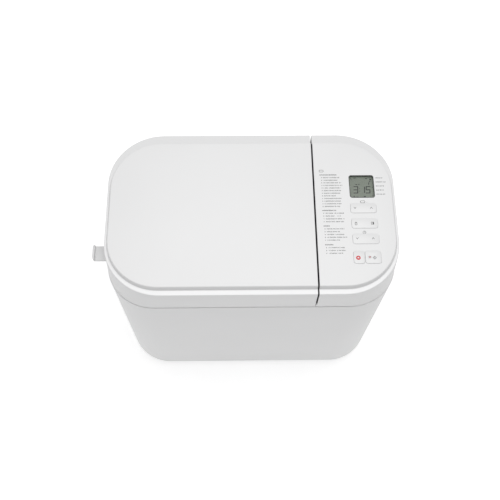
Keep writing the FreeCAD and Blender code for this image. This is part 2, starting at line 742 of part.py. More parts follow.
def lid_seal():
    low, high = f"({flange_top} + seal_gap)", f"{flange_top} + seal_gap + seal_height"
    outer = rounded_plate("seal_outer", "frame_width", "frame_depth", "chamber_corner + 4",
                          (low, high), chamber)
    inner = rounded_plate("seal_inner", "frame_width - 2 * frame_wall", "frame_depth - 2 * frame_wall",
                          "chamber_corner + 4 - frame_wall", (f"{low} - 1", f"{high} + 1"), chamber)
    sub_part(cut("seal", outer, inner), "lid_seal")


def lid_liner():
    """A metal tray, its rim up against the lid's underside."""
    width, depth = "frame_width - 2 * (frame_wall + 0.3)", "frame_depth - 2 * (frame_wall + 0.3)"
    corner = "chamber_corner + 4 - frame_wall - 0.3"
    outer = rounded_plate("liner_outer", width, depth, corner,
                          ("liner_height", "rim_height - lid_wall - 0.1"), chamber)
    inner = rounded_plate("liner_inner", f"{width} - 2 * liner_sheet", f"{depth} - 2 * liner_sheet",
                          f"{corner} - liner_sheet", ("liner_height + liner_sheet", "top_height"), chamber)
    sub_part(cut("liner", outer, inner, *lid_screw_holes("liner_sheet + 2")), "lid_liner")


def lid_screw_places():
    for x, y in four_places("frame_width / 2 - 24", "frame_depth / 2 - 24"):
        yield f"chamber_place + {x}", y


def lid_screw_holes(length):
    return [rod("lid_screw_hole", (x, y, "liner_height - 1"), "screw_radius + 0.1", length)
            for x, y in lid_screw_places()]


def lid_posts():
    """The posts under the raised top that the liner is screwed to."""
    foot = "(liner_height + liner_sheet + running_fit)"
    return [rod("lid_post", (x, y, foot), "post_radius", f"top_height - lid_wall + 0.5 - {foot}")
            for x, y in lid_screw_places()]


def lid_screws():
    screws = []
    for x, y in lid_screw_places():
        screws.append(screw(x, y, "liner_height", down=False, length="8"))
    sub_part(group("liner_screws", screws), "lid_screws")


# ---- the hinge


def hinge_places():
    return ("hinge_left", "hinge_right")


def hinge_arms():
    arms = []
    for middle in hinge_places():
        span = about(middle, "hinge_arm")
        knuckle = rod("arm_knuckle", (span[0], "hinge_back", hinge_z), "hinge_barrel", "hinge_arm", "x")
        front = "hinge_back - hinge_barrel"
        strap = block("arm_strap", span, (front, "rim_depth / 2 - lid_wall - 0.1"),
                      (hinge_z, "rim_height - lid_wall - 0.1"))
        foot = block("arm_foot", span, ("hinge_back - 10", f"{front} + 1"),
                     ("rim_height - lid_wall - 4", "rim_height - lid_wall - 0.1"))
        hole = rod("arm_bore", (f"{span[0]} - 1", "hinge_back", hinge_z), "hinge_pin + running_fit",
                   "hinge_arm + 2", "x")
        arms.append(cut("arm", fuse("arm_solid", knuckle, strap, foot), hole))
    sub_part(group("arms", arms), "lid_hinge_arms")


def hinge_brackets():
    brackets = []
    for middle in hinge_places():
        inner = "(hinge_arm / 2 + hinge_play)"
        outer = f"({inner} + hinge_ear)"
        ears = []
        for start in (f"{middle} - {outer}", f"{middle} + {inner}"):
            span = (start, f"{start} + hinge_ear")
            ears.append(rod("ear_knuckle", (start, "hinge_back", hinge_z), "hinge_barrel", "hinge_ear", "x"))
            ears.append(block("ear_post", span,
                              ("hinge_back - hinge_barrel", "body_depth / 2 - wall - fit_gap"),
                              (deck_top, hinge_z)))
        foot = block("ear_foot", (f"{middle} - {outer}", f"{middle} + {outer}"),
                     ("hinge_back - hinge_barrel", "body_depth / 2 - wall - fit_gap"),
                     (deck_top, f"{deck_top} + 3"))
        hole = rod("ear_bore", (f"{middle} - {outer} - 1", "hinge_back", hinge_z),
                   "hinge_pin + press_gap", f"2 * {outer} + 2", "x")
        brackets.append(cut("bracket", fuse("bracket_solid", foot, *ears), hole))
    sub_part(group("brackets", brackets), "hinge_brackets")


def hinge_pins():
    pins = []
    for middle in hinge_places():
        reach = "(hinge_arm / 2 + hinge_play + hinge_ear)"
        pins.append(rod("pin", (f"{middle} - {reach}", "hinge_back", hinge_z), "hinge_pin",
                        f"2 * {reach}", "x"))
    sub_part(group("pins", pins), "hinge_pins")


def hinge_cover():
    """The strip that closes the slot under the lid's raised skirt, open where the arms swing."""
    low, high = "seam_height + seam_gap", f"{hinge_z} + cover_lift"
    outer = rounded_plate("strip_outer", "rim_depth + 1.2 + body_width - body_depth", "rim_depth + 1.2",
                          "band_corner", (low, high))
    inner = rounded_plate("strip_inner", "rim_depth + 1.6 - 2 * lid_wall + body_width - body_depth",
                          "rim_depth + 1.6 - 2 * lid_wall", "band_corner - lid_wall + 0.2",
                          (f"{low} - 1", f"{high} + 1"))
    window = block("strip_window", ("-hinge_zone + 1", f"{gap_left} - fit_gap"),
                   ("body_depth / 4", "body_depth"), (low, high))
    strip = common("strip", cut("strip_band", outer, inner), window)
    notches = []
    for middle in hinge_places():
        notches.append(block("strip_notch", about(middle, "hinge_arm + 2 * hinge_play + 2 * hinge_ear + 2"),
                             ("hinge_back - 12", "body_depth"), ("0", "top_height")))
    sub_part(cut("cover_strip", strip, *notches), "hinge_cover")


# ---- the baking chamber


def chamber_liner():
    outer = rounded_plate("oven_outer", "chamber_width + 2 * sheet_metal", "chamber_depth + 2 * sheet_metal",
                          "chamber_corner + sheet_metal",
                          ("chamber_floor - sheet_metal", flange_top), chamber)
    lip = rounded_plate("oven_flange", "chamber_width + 2 * chamber_flange",
                        "chamber_depth + 2 * chamber_flange", "chamber_corner + chamber_flange",
                        (deck_top, flange_top), chamber)
    inner = rounded_plate("oven_inner", "chamber_width", "chamber_depth", "chamber_corner",
                          ("chamber_floor", f"{flange_top} + 1"), chamber)
    floor = rod("oven_floor_hole", ("chamber_place", "0", "chamber_floor - 5"), "16", "10")
    side = "chamber_place + chamber_width / 2 - 4"
    holes = [rod("oven_sensor_hole", (side, "40", "chamber_floor + sensor_rise"),
                 "sensor_radius + 0.3", "8", "x")]
    for y in ("heater_split", "-heater_split"):
        holes.append(rod("oven_heater_hole", (side, y, "chamber_floor + heater_rise"), "heater_radius + 0.5",
                         "8", "x"))
    sub_part(cut("oven", fuse("oven_solid", outer, lip), inner, floor, *holes), "chamber_liner")


def heater_path():
    """The middle line of the heating rod: once round the chamber, both ends out of its right side."""
    x, y = number("chamber_width / 2 - heater_inset"), number("chamber_depth / 2 - heater_inset")
    split, turn, bend = number("heater_split"), number("heater_turn"), number("heater_bend")
    tail = number("chamber_width / 2 + sheet_metal + heater_tail")
    diagonal = 0.5 ** 0.5

    def arc(start, middle, end):
        return Part.Arc(*[FreeCAD.Vector(px, py, 0) for px, py in (start, middle, end)]).toShape()

    def line(start, end):
        return Part.makeLine(FreeCAD.Vector(*start, 0), FreeCAD.Vector(*end, 0))

    def corner(cx, cy, sx, sy, first):
        ends = [(cx, cy + sy * bend), (cx + sx * bend, cy)]
        middle = (cx + sx * bend * diagonal, cy + sy * bend * diagonal)
        return arc(ends[first], middle, ends[1 - first])

    def end_turn(sign):
        cx, cy = x + turn, sign * (split + turn)
        middle = (cx - turn * diagonal, cy - sign * turn * diagonal)
        return arc((cx, sign * split), middle, (x, cy))

    edges = [
        line((tail, split), (x + turn, split)),
        end_turn(1),
        line((x, split + turn), (x, y - bend)),
        corner(x - bend, y - bend, 1, 1, 1),
        line((x - bend, y), (bend - x, y)),
        corner(bend - x, y - bend, -1, 1, 0),
        line((-x, y - bend), (-x, bend - y)),
        corner(bend - x, bend - y, -1, -1, 1),
        line((bend - x, -y), (x - bend, -y)),
        corner(x - bend, bend - y, 1, -1, 0),
        line((x, bend - y), (x, -split - turn)),
        end_turn(-1),
        line((x + turn, -split), (tail, -split)),
    ]
    return Part.Wire(Part.__sortEdges__(edges))


def heater_element():
    path = heater_path()
    start = path.OrderedVertexes[0].Point
    ring = Part.Wire(Part.makeCircle(number("heater_radius"), start, FreeCAD.Vector(1, 0, 0)))
    rod_shape = path.makePipeShell([ring], True, False)
    thing = doc.addObject("Part::Feature", "heating_rod")
    thing.Shape = rod_shape
    sub_part(place(thing, "chamber_place", "0", "chamber_floor + heater_rise"), "heater_element")


def heater_clips():
    """Two posts on the chamber's floor that carry the heating rod at the front and the back."""
    clips = []
    reach = "(chamber_depth / 2 - heater_inset)"
    for sign in ("-", ""):
        middle = f"({sign}{reach})"
        post = block("clip_post", about("chamber_place", "10"), about(middle, "1.6"),
                     ("chamber_floor", "chamber_floor + heater_rise - heater_radius - 0.3"))
        saddle = block("clip_saddle", about("chamber_place", "10"), about(middle, "14"),
                       ("chamber_floor + heater_rise - heater_radius - 2.3",
                        "chamber_floor + heater_rise - heater_radius - 0.3"))
        foot = block("clip_foot", about("chamber_place", "10"), about(middle, "14"),
                     ("chamber_floor + 0.05", "chamber_floor + 1.6"))
        clips.append(fuse("clip", post, saddle, foot))
    sub_part(group("clips", clips), "heater_clips")


def chamber_sensor():
    inside = "chamber_place + chamber_width / 2"
    probe = rod("probe", (f"{inside} - 16", "40", "chamber_floor + sensor_rise"), "sensor_radius", "24", "x")
    nut = rod("probe_nut", (f"{inside} + sheet_metal", "40", "chamber_floor + sensor_rise"),
              "sensor_radius + 3", "3", "x")
    sub_part(fuse("probe_solid", probe, nut), "chamber_sensor")


def heat_shield():
    plate = block("shield_plate", ("shield_place", "shield_place + sheet_metal"), both("chamber_depth"),
                  (f"{chassis_top} + 10", f"{deck_low} - 4"))
    foot = block("shield_foot", ("shield_place", "shield_place + 12"), both("chassis_depth - 10"),
                 (chassis_top, f"{chassis_top} + sheet_metal"))
    web = block("shield_web", ("shield_place", "shield_place + sheet_metal"), both("chassis_depth - 10"),
                (chassis_top, f"{chassis_top} + 11"))
    window = block("shield_cold_ends", ("shield_place - 5", "shield_place + 5"),
                   both("2 * heater_split + 16"),
                   ("chamber_floor + heater_rise - 8", "chamber_floor + heater_rise + 8"))
    sub_part(cut("shield", fuse("shield_solid", plate, foot, web), window), "heat_shield")


# ---- the pan, its handle and the kneading blade


def pan_form(name, inset, low, high):
    lean = "pan_draft"
    body = lofted(name,
                  (low, f"pan_width - 2 * ({lean} + {inset})", f"pan_depth - 2 * ({lean} + {inset})",
                   f"pan_corner - {inset}", "0"),
                  (high, f"pan_width - 2 * {inset}", f"pan_depth - 2 * {inset}",
                   f"pan_corner - {inset}", "0"))
    return place(body, x="chamber_place")


def pan_shell():
    outer = pan_form("pan_outer", "0", pan_low, pan_top)
    inner = pan_form("pan_inner", "pan_wall", f"{pan_low} + pan_wall", f"{pan_top} + 0.01")
    lip_outer = rounded_plate("pan_lip_outer", "pan_width + 2 * pan_lip", "pan_depth + 2 * pan_lip",
                              "pan_corner + pan_lip", (f"{pan_top} - pan_wall", pan_top), chamber)
    hole = rod("pan_shaft_hole", ("chamber_place", "0", f"{pan_low} - 1"),
               "shaft_radius + bush_wall + running_fit", "6")
    sub_part(cut("pan", fuse("pan_solid", outer, lip_outer), inner, hole), "pan_shell")


def wedge(name, inner, outer, low, high, angle, turn):
    """A sector of a ring, used for the lugs and the claws of the bayonet."""
    pie = doc.addObject("Part::Cylinder", name)
    bind(pie, "Radius", outer)
    bind(pie, "Height", f"({high}) - ({low})")
    bind(pie, "Angle", angle)
    pie.Placement.Rotation = FreeCAD.Rotation(FreeCAD.Vector(0, 0, 1), turn - number(angle) / 2)
    place(pie, "chamber_place", "0", low)
    return cut(name + "_sector", pie, rod(name + "_core", ("chamber_place", "0", low), inner,
                                          f"({high}) - ({low})"))


lug_low = "(chamber_floor + 4)"
lug_top = f"({lug_low} + lug_height)"


def pan_base_ring():
    low = "chamber_floor + 2.6"
    ring = tube("foot_ring", ("chamber_place", "0", low), "ring_radius", "ring_radius - ring_wall",
                f"{pan_low} - ({low})")
    lugs = []
    for turn in (30, 150, 270):
        lugs.append(wedge("lug", "ring_radius - 1", "ring_radius + lug_reach", lug_low, lug_top,
                          "lug_angle", turn))
    sub_part(fuse("foot_ring_solid", ring, *lugs), "pan_base_ring")


def pan_mount_ring():
    bore = "(ring_radius + lug_reach + bayonet_gap)"
    foot = tube("mount_foot", ("chamber_place", "0", "chamber_floor"), f"{bore} + mount_wall + 8", bore, "2")
    ring = tube("mount_ring", ("chamber_place", "0", "chamber_floor"), f"{bore} + mount_wall", bore,
                f"{lug_top} - chamber_floor + 6")
    claws = []
    for turn in (30, 150, 270):
        claws.append(wedge("claw", "ring_radius + bayonet_gap", f"{bore} + 1", f"{lug_top} + bayonet_gap",
                           f"{lug_top} + bayonet_gap + 3", "claw_angle", turn))
    sub_part(fuse("mount_solid", foot, ring, *claws), "pan_mount_ring")


def pan_bush():
    """The bush and seal that carry the pan's shaft through its floor."""
    outside = "(shaft_radius + bush_wall)"
    tube_part = rod("bush_tube", ("chamber_place", "0", f"{pan_low} - bush_length"), outside,
                    "bush_length + pan_wall + 1")
    flange = rod("bush_flange", ("chamber_place", "0", f"{pan_low} + pan_wall"), f"{outside} + 4", "1.6")
    bore = rod("bush_bore", ("chamber_place", "0", f"{pan_low} - bush_length - 1"),
               "shaft_radius + running_fit", "bush_length + 8")
    sub_part(cut("bush", fuse("bush_solid", tube_part, flange), bore), "pan_bush")


def pan_shaft():
    low = f"({dog_low} + 3)"
    axle = rod("pan_axle", ("chamber_place", "0", low), "shaft_radius",
               f"{pan_low} + blade_height + 2 - {low}")
    sub_part(axle, "pan_shaft")


def pan_coupler():
    """The wing under the pan, which the driving dogs push round."""
    low = f"({dog_low} + 1)"
    wing = block("wing", about("chamber_place", "wing_width"), both("2 * wing_reach"),
                 (low, f"{dog_top} - 1"))
    hub = rod("wing_hub", ("chamber_place", "0", low), "6.5", "coupling_height")
    bore = rod("wing_bore", ("chamber_place", "0", f"{low} - 1"), "shaft_radius + press_gap", "20")
    sub_part(cut("wing_coupler", fuse("wing_solid", wing, hub), bore), "pan_coupler")


def kneading_blade():
    low = f"({pan_low} + pan_wall + 2.2)"
    hub = turned("blade_hub", ("shaft_radius + running_fit", low), ("10", low),
                 ("8", f"{low} + blade_height"), ("shaft_radius + running_fit", f"{low} + blade_height"))
    vane_body = new_body("blade_vane")
    sketch = sketch_on(vane_body, "XZ_Plane")
    draw_outline(sketch, (("5.5", low), ("blade_reach", low), ("blade_reach - 3", f"{low} + 10"),
                          ("blade_reach - 16", f"{low} + blade_height"),
                          ("5.5", f"{low} + blade_height - 3")))
    pad(vane_body, sketch, "blade_sheet", symmetric=True)
    doc.recompute()
    base = vane_body.Tip
    level = number(low)
    names = [f"Edge{i}" for i, edge in enumerate(base.Shape.Edges, 1)
             if edge.BoundBox.YLength < 0.01 and edge.BoundBox.ZMin > level + 0.01]
    feature = vane_body.newObject("PartDesign::Fillet", "vane_round")
    feature.Base = (base, names)
    feature.Radius = 2
    place(hub, "chamber_place")
    place(vane_body, "chamber_place")
    clear = rod("blade_shaft_room", ("chamber_place", "0", f"{low} - 1"), "shaft_radius + running_fit", "30")
    sub_part(cut("blade", fuse("blade_solid", hub, vane_body), clear), "kneading_blade")


def handle_ears():
    ears = []
    for sign in ("-", ""):
        plate_in = f"({sign}(pan_width / 2 + 0.1))"
        plate_out = f"({sign}(pan_width / 2 + 1.6))"
        low, high = (plate_out, plate_in) if sign else (plate_in, plate_out)
        plate = block("ear_plate", (f"chamber_place + {low}", f"chamber_place + {high}"), both("22"),
                      (f"{pivot_z} - 7", f"{pivot_z} + 7"))
        reach = "(pan_lip - 1.2 + handle_strip + 1.6)"
        start = f"chamber_place + {high}" if not sign else f"chamber_place + {low} - {reach}"
        stud = rod("ear_stud", (start, "0", pivot_z), "stud_radius", reach, "x")
        ears.append(fuse("pan_ear", plate, stud))
    sub_part(group("pan_ears", ears), "handle_ears")


handle_in = "(pan_width / 2 + pan_lip + 0.5)"
handle_out = f"({handle_in} + handle_strip)"


def pan_handle():
    """A bail that lies forward round the pan and swings up and over."""
    arms = []
    holes = []
    for sign in (-1, 1):
        low, high = (handle_in, handle_out) if sign > 0 else (f"-{handle_out}", f"-{handle_in}")
        span = (f"chamber_place + {low}", f"chamber_place + {high}")
        arms.append(block("arm_strip", span, ("-handle_arm", "0"), about(pivot_z, "handle_width")))
        arms.append(rod("arm_eye", (span[0], "0", pivot_z), "handle_width / 2 + 1.5", "handle_strip", "x"))
        holes.append(rod("arm_hole", (f"{span[0]} - 1", "0", pivot_z), "stud_radius + running_fit",
                         "handle_strip + 2", "x"))
    bar = rod("handle_bar", (f"chamber_place - {handle_out}", "-handle_arm", pivot_z), "bar_radius",
              f"2 * {handle_out}", "x")
    sub_part(cut("bail", fuse("bail_solid", bar, *arms), *holes), "pan_handle")


def handle_grip():
    grip = tube("grip", ("chamber_place - grip_length / 2", "-handle_arm", pivot_z), "grip_radius",
                "bar_radius + press_gap", "grip_length", "x")
    sub_part(grip, "handle_grip")


# ---- the drive under the chamber


def base_pillars():
    """The four pillars of the bottom cover, which carry the chassis plate."""
    pillars = []
    for x in ("chassis_left + 20", "chassis_right - 15"):
        for sign in ("-", ""):
            pillars.append(rod("pillar", (x, f"{sign}(chassis_depth / 2 - 12)", f"{base_top} - 1"),
                               "pillar_radius", f"chassis_height - {base_top} + 1"))
    return pillars


def chassis_plate():
    plate = block("chassis_sheet_plate", ("chassis_left", "chassis_right"), both("chassis_depth"),
                  ("chassis_height", chassis_top))
    bearing = rod("chassis_bearing_hole", ("chamber_place", "0", "chassis_height - 1"),
                  "bearing_radius + 0.3", "chassis_sheet + 2")
    motor = rod("chassis_motor_hole", ("motor_place", "0", "chassis_height - 1"),
                "pinion_radius + flange_reach + 0.4", "chassis_sheet + 2")
    sub_part(fuse("chassis_solid", cut("chassis", plate, bearing, motor), *chamber_posts()), "chassis_plate")


def chamber_posts():
    """The four posts on the chassis plate that the chamber stands on."""
    spacers = []
    for x, y in four_places("70", "chassis_depth / 2 - 14"):
        spacers.append(rod("spacer", (f"chamber_place + {x}", y, f"{chassis_top} - 1"), "pillar_radius",
                           f"chamber_floor - sheet_metal - {chassis_top} + 1"))
    return spacers


def bearing_housing():
    """A flanged tube on the chassis plate that carries the two bushes of the drive shaft."""
    low = "(chassis_height - 3)"
    flange = rod("bearing_plate", ("chamber_place", "0", chassis_top), "bearing_flange", "bearing_sheet")
    sleeve = rod("bearing_tube", ("chamber_place", "0", low), "bearing_radius", f"chamber_floor + 1 - {low}")
    bore = rod("bearing_bore", ("chamber_place", "0", f"{low} - 1"), "bush_radius",
               f"chamber_floor + 5 - {low}")
    sub_part(cut("bearing", fuse("bearing_solid", flange, sleeve), bore), "bearing_housing")


def drive_bushes():
    bushes = []
    for z in ("chassis_height - 3", "chamber_floor + 1 - bush_length"):
        bushes.append(tube("shaft_bush", ("chamber_place", "0", z), "bush_radius - press_gap",
                           "shaft_radius + running_fit", "bush_length"))
    sub_part(group("shaft_bushes", bushes), "drive_bushes")


def drive_shaft():
    low = "(pulley_height - 3)"
    axle = rod("axle", ("chamber_place", "0", low), "shaft_radius", f"{dog_low} - {low} - 0.5")
    sub_part(axle, "drive_shaft")


def drive_pulley():
    """A webbed wheel with a smooth crown between two flanges."""
    inner = "shaft_radius + press_gap"
    edge = "(pulley_radius + flange_reach)"
    wheel = turned("wheel", (inner, "pulley_height - 1"), ("10", "pulley_height - 1"),
                   ("10", "pulley_height + 5"), ("pulley_radius - 5", "pulley_height + 5"),
                   ("pulley_radius - 5", "pulley_height"), (edge, "pulley_height"),
                   (edge, "pulley_height + flange_sheet"), ("pulley_radius", "pulley_height + flange_sheet"),
                   ("pulley_radius", f"{pulley_top} - flange_sheet"), (edge, f"{pulley_top} - flange_sheet"),
                   (edge, pulley_top), ("pulley_radius - 5", pulley_top),
                   ("pulley_radius - 5", "pulley_height + 8"), ("10", "pulley_height + 8"),
                   ("10", f"{pulley_top} + 0.5"), (inner, f"{pulley_top} + 0.5"))
    place(wheel, "chamber_place")
    holes = []
    for sx, sy in ((1, 0), (0, 1), (-1, 0), (0, -1)):
        holes.append(rod("wheel_hole", (f"chamber_place + {sx} * pulley_radius / 2",
                                        f"{sy} * pulley_radius / 2", "pulley_height"), "12", "pulley_width"))
    sub_part(cut("drive_wheel", wheel, *holes), "drive_pulley")


def motor_pulley():
    inner = "shaft_radius + press_gap"
    edge = "(pinion_radius + flange_reach)"
    pinion = turned("pinion", (inner, "pulley_height"), (edge, "pulley_height"),
                    (edge, "pulley_height + flange_sheet"), ("pinion_radius", "pulley_height + flange_sheet"),
                    ("pinion_radius", f"{pulley_top} - flange_sheet"), (edge, f"{pulley_top} - flange_sheet"),
                    (edge, pulley_top), (inner, pulley_top))
    sub_part(place(pinion, "motor_place"), "motor_pulley")


def draw_belt(sketch, offset):
    """The line round both pulleys: two arcs and the two straight runs that touch them."""
    left, right = number("chamber_place"), number("motor_place")
    large, small = number(f"pulley_radius + {offset}"), number(f"pinion_radius + {offset}")
    lean = (large - small) / (right - left)
    rise = (1 - lean * lean) ** 0.5
    up = FreeCAD.Vector(0, 0, 1)

    def touch(middle, radius, side):
        return FreeCAD.Vector(middle + radius * lean, side * radius * rise, 0)

    def arc(middle, radius, way, first):
        ends = [touch(middle, radius, 1), touch(middle, radius, -1)]
        far = FreeCAD.Vector(middle + way * radius, 0, 0)
        return Part.Arc(ends[first], far, ends[1 - first])

    items = [
        sketch.addGeometry(Part.LineSegment(touch(left, large, -1), touch(right, small, -1)), False),
        sketch.addGeometry(arc(right, small, 1, 1), False),
        sketch.addGeometry(Part.LineSegment(touch(right, small, 1), touch(left, large, 1)), False),
        sketch.addGeometry(arc(left, large, -1, 0), False),
    ]
    for item, following in zip(items, items[1:] + items[:1]):
        sketch.addConstraint(Sketcher.Constraint("Tangent", item, 2, following, 1))
    for item, middle, radius in ((items[1], "motor_place", f"pinion_radius + {offset}"),
                                 (items[3], "chamber_place", f"pulley_radius + {offset}")):
        pin_point(sketch, item, 3, middle, "0")
        line = sketch.addConstraint(Sketcher.Constraint("Radius", item, number(radius)))
        bind(sketch, f"Constraints[{line}]", radius)


def drive_belt():
    body = new_body("belt")
    sketch = sketch_on(body)
    draw_belt(sketch, "belt_gap + belt_sheet")
    draw_belt(sketch, "belt_gap")
    pad(body, sketch, "belt_width")
    sub_part(place(body, z="pulley_height + (pulley_width - belt_width) / 2"), "drive_belt")


def drive_coupler():
    hub = rod("dog_hub", ("chamber_place", "0", coupler_low), "15", f"{dog_low} - {coupler_low}")
    bore = rod("dog_bore", ("chamber_place", "0", f"{coupler_low} - 1"), "shaft_radius + press_gap", "20")
    dogs = []
    for low, high in (("7.5", "14"), ("-14", "-7.5")):
        dogs.append(block("dog", (f"chamber_place + {low}", f"chamber_place + {high}"), both("8"),
                          (f"{dog_low} - 0.5", dog_top)))
    sub_part(cut("dog_coupler", fuse("dog_solid", hub, *dogs), bore), "drive_coupler")


# ---- the motor


motor_low = f"({chassis_top} + motor_rise)"


def motor_holes(name, low, high, radius="screw_radius + 0.6"):
    """The four corners of the motor, from the end brackets to the core."""
    for x, y in four_places("motor_width / 2 - 7", "motor_depth / 2 - 7"):
        yield rod(name, (f"motor_place + {x}", y, low), radius, f"({high}) - ({low})")


def motor_plate(name, low, thickness):
    plate = rounded_plate(name, "motor_width", "motor_depth", "8", (low, f"({low}) + {thickness}"),
                          ("motor_place", "0"))
    bore = rod(name + "_bore", ("motor_place", "0", f"({low}) - 1"), "shaft_radius + running_fit", "20")
    return cut(name + "_drilled", plate, bore, *motor_holes(name + "_hole", f"({low}) - 1", f"({low}) + 9"))


def motor_brackets():
    low = motor_plate("lower_bracket", motor_low, "2")
    high = motor_plate("upper_bracket", f"{core_top} + winding_height + 1", "2")
    sub_part(group("end_brackets", (low, high)), "motor_brackets")


def motor_stator():
    core = rounded_plate("core", "motor_width", "motor_depth", "8", (core_low, core_top),
                         ("motor_place", "0"))
    bore = rod("core_bore", ("motor_place", "0", f"{core_low} - 1"), "bore_radius", "core_height + 2")
    coils = []
    for low in (f"({core_low} - winding_height + 0.5)", core_top):
        coils.append(tube("coil", ("motor_place", "0", low), "bore_radius + 6", "bore_radius + 0.8",
                          "winding_height - 0.5"))
    drilled = cut("core_drilled", core, bore, *motor_holes("core_hole", f"{core_low} - 1", f"{core_top} + 1"))
    sub_part(group("stator", (drilled, *coils)), "motor_stator")


def motor_screws():
    length = f"({core_top} + winding_height + 3 - {chassis_top})"
    screws = []
    for x, y in four_places("motor_width / 2 - 7", "motor_depth / 2 - 7"):
        screws.append(screw(f"motor_place + {x}", y, f"{chassis_top} + {length}", down=True,
                            length=length))
    sub_part(group("motor_bolts", screws), "motor_screws")


def motor_grommets():
    grommets = []
    for x, y in four_places("motor_width / 2 - 7", "motor_depth / 2 - 7"):
        grommets.append(tube("grommet", (f"motor_place + {x}", y, chassis_top), "5", "screw_radius + 0.1",
                             "motor_rise"))
    sub_part(group("grommets", grommets), "motor_grommets")


def motor_rotor():
    sub_part(tube("rotor", ("motor_place", "0", core_low), "bore_radius - air_gap",
                  "shaft_radius + press_gap", "core_height"), "motor_rotor")


def motor_shaft():
    low = "(pulley_height - 2)"
    sub_part(rod("motor_axle", ("motor_place", "0", low), "shaft_radius",
                 f"{core_top} + winding_height + 17 - {low}"), "motor_shaft")


def motor_fan():
    low = f"({core_top} + winding_height + 6)"
    hub = rod("fan_hub", ("motor_place", "0", low), "9", "8")
    disc = rod("fan_disc", ("motor_place", "0", low), "fan_radius", "1.5")
    vanes = []
    for index in range(10):
        vane = block("fan_vane", ("8", "fan_radius"), both("1.4"), ("0", "8"))
        vane.Placement.Rotation = FreeCAD.Rotation()
        carrier = doc.addObject("Part::Compound", "fan_vane_turned")
        carrier.Links = [vane]
        carrier.Placement.Rotation = FreeCAD.Rotation(FreeCAD.Vector(0, 0, 1), 36 * index)
        vanes.append(place(carrier, "motor_place", "0", low))
    bore = rod("fan_bore", ("motor_place", "0", f"{low} - 1"), "shaft_radius + press_gap", "12")
    sub_part(cut("fan", fuse("fan_solid", hub, disc, *vanes), bore), "motor_fan")


# ---- the control housing and its keys


def key_places():
    """The left and right limits of the two square keys, under the column of rockers."""
    left = "(panel_place - (stop_width + key_split + start_width) / 2)"
    split = f"({left} + stop_width)"
    return (left, split), (f"({split} + key_split)", f"({split} + key_split + start_width)")


def rocker_y(index):
    return f"(rocker_back - {index} * rocker_pitch)"


def key_opening(name, x, y, room):
    """A rounded opening or cap between limits in X and Y, enlarged by room all round."""
    cap = room == "0"
    levels = (key_low, "top_height + key_proud") if cap else ("top_height - 6", "top_height + 6")
    middle = (f"(({x[0]}) + ({x[1]})) / 2", f"(({y[0]}) + ({y[1]})) / 2")
    return rounded_plate(name, f"({x[1]}) - ({x[0]}) + 2 * {room}", f"({y[1]}) - ({y[0]}) + 2 * {room}",
                         f"rocker_corner + {room}", levels, middle)


def square_key_span():
    return about("key_front", "key_depth")


def control_housing():
    right = (gap_right, "body_width")
    solid = common("control_solid", outer_form("control_outer"), block("control_side", right, wide, tall))
    hollow = common("control_hollow", inner_form("control_inner"),
                    block("control_room", (f"{gap_right} + lid_wall", "body_width"), wide, tall))
    openings = [key_opening("window_opening", about("panel_place", "window_width"),
                            about("window_back", "window_depth"), "window_fit")]
    saddles = []
    holes = []
    for index in range(3):
        y = rocker_y(index)
        openings.append(key_opening("rocker_opening", about("panel_place", "rocker_width"),
                                    about(y, "rocker_depth"), "key_fit"))
        for sign in ("-", "+"):
            middle = f"({y} {sign} (rocker_depth / 2 + key_fit + 1.6))"
            saddles.append(block("saddle", about("panel_place", "7"), about(middle, "2.4"),
                                 ("top_height - trunnion_drop - 3", "top_height - lid_wall + 0.5")))
        holes.append(rod("saddle_hole", ("panel_place", f"{y} - rocker_depth / 2 - 6",
                                         "top_height - trunnion_drop"),
                         "trunnion_radius + running_fit", "rocker_depth + 12", "y"))
    stop, start = key_places()
    pair = (stop[0], start[1])
    openings.append(key_opening("square_opening", pair, square_key_span(), "key_fit"))
    shell = cut("control_shell", solid, hollow, *openings)
    saddled = fuse("control_saddled", shell, *saddles, *board_posts())
    sub_part(cut("control_drilled", saddled, *holes), "control_housing")


def lcd_window():
    plate = rounded_plate("window_plate", "window_width", "window_depth", "rocker_corner",
                          ("top_height - window_sheet", "top_height"), ("panel_place", "window_back"))
    sub_part(plate, "lcd_window")


def lcd_module():
    display = block("display", about("panel_place", "window_width + 6"),
                    about("window_back", "window_depth + 6"),
                    (f"{board_top} + 3", "top_height - lid_wall - 0.2"))
    sub_part(display, "lcd_module")


def rocker(index, label):
    y = rocker_y(index)
    cap = key_opening("rocker_cap", about("panel_place", "rocker_width"), about(y, "rocker_depth"), "0")
    spine = block("rocker_spine", about("panel_place", "3"), about(y, "rocker_depth"),
                  ("top_height - trunnion_drop", f"{key_low} + 0.5"))
    trunnion = rod("rocker_trunnion", ("panel_place", f"{y} - rocker_depth / 2 - trunnion_reach",
                                       "top_height - trunnion_drop"), "trunnion_radius",
                   "rocker_depth + 2 * trunnion_reach", "y")
    plungers = []
    for sign in ("-", "+"):
        plungers.append(rod("rocker_plunger", (f"panel_place {sign} plunger_arm", y, plunger_low),
                            "plunger_radius", f"{key_low} + 0.5 - {plunger_low}"))
    sub_part(fuse("rocker_solid", cap, spine, trunnion, *plungers), label)


def square_key(index, label):
    x = key_places()[index]
    cap = key_opening("key_cap", x, square_key_span(), "0")
    middle = f"(({x[0]}) + ({x[1]})) / 2"
    foot = rod("key_plunger", (middle, "key_front", plunger_low), "plunger_radius",
               f"{key_low} + 0.5 - {plunger_low}")
    solid = fuse("key_solid", cap, foot)
    if index == 1:
        solid = cut("key_drilled", solid, rod("lamp_hole", (lamp_x(), "key_front", "0"), "lamp_radius + 0.4",
                                              "top_height + 10"))
    sub_part(solid, label)


def lamp_x():
    return f"({key_places()[1][0]} + lamp_side - 2.6)"


def start_lamp():
    sub_part(rod("light_pipe", (lamp_x(), "key_front", board_top), "lamp_radius",
                 f"top_height + key_proud - 0.4 - {board_top}"), "start_lamp")


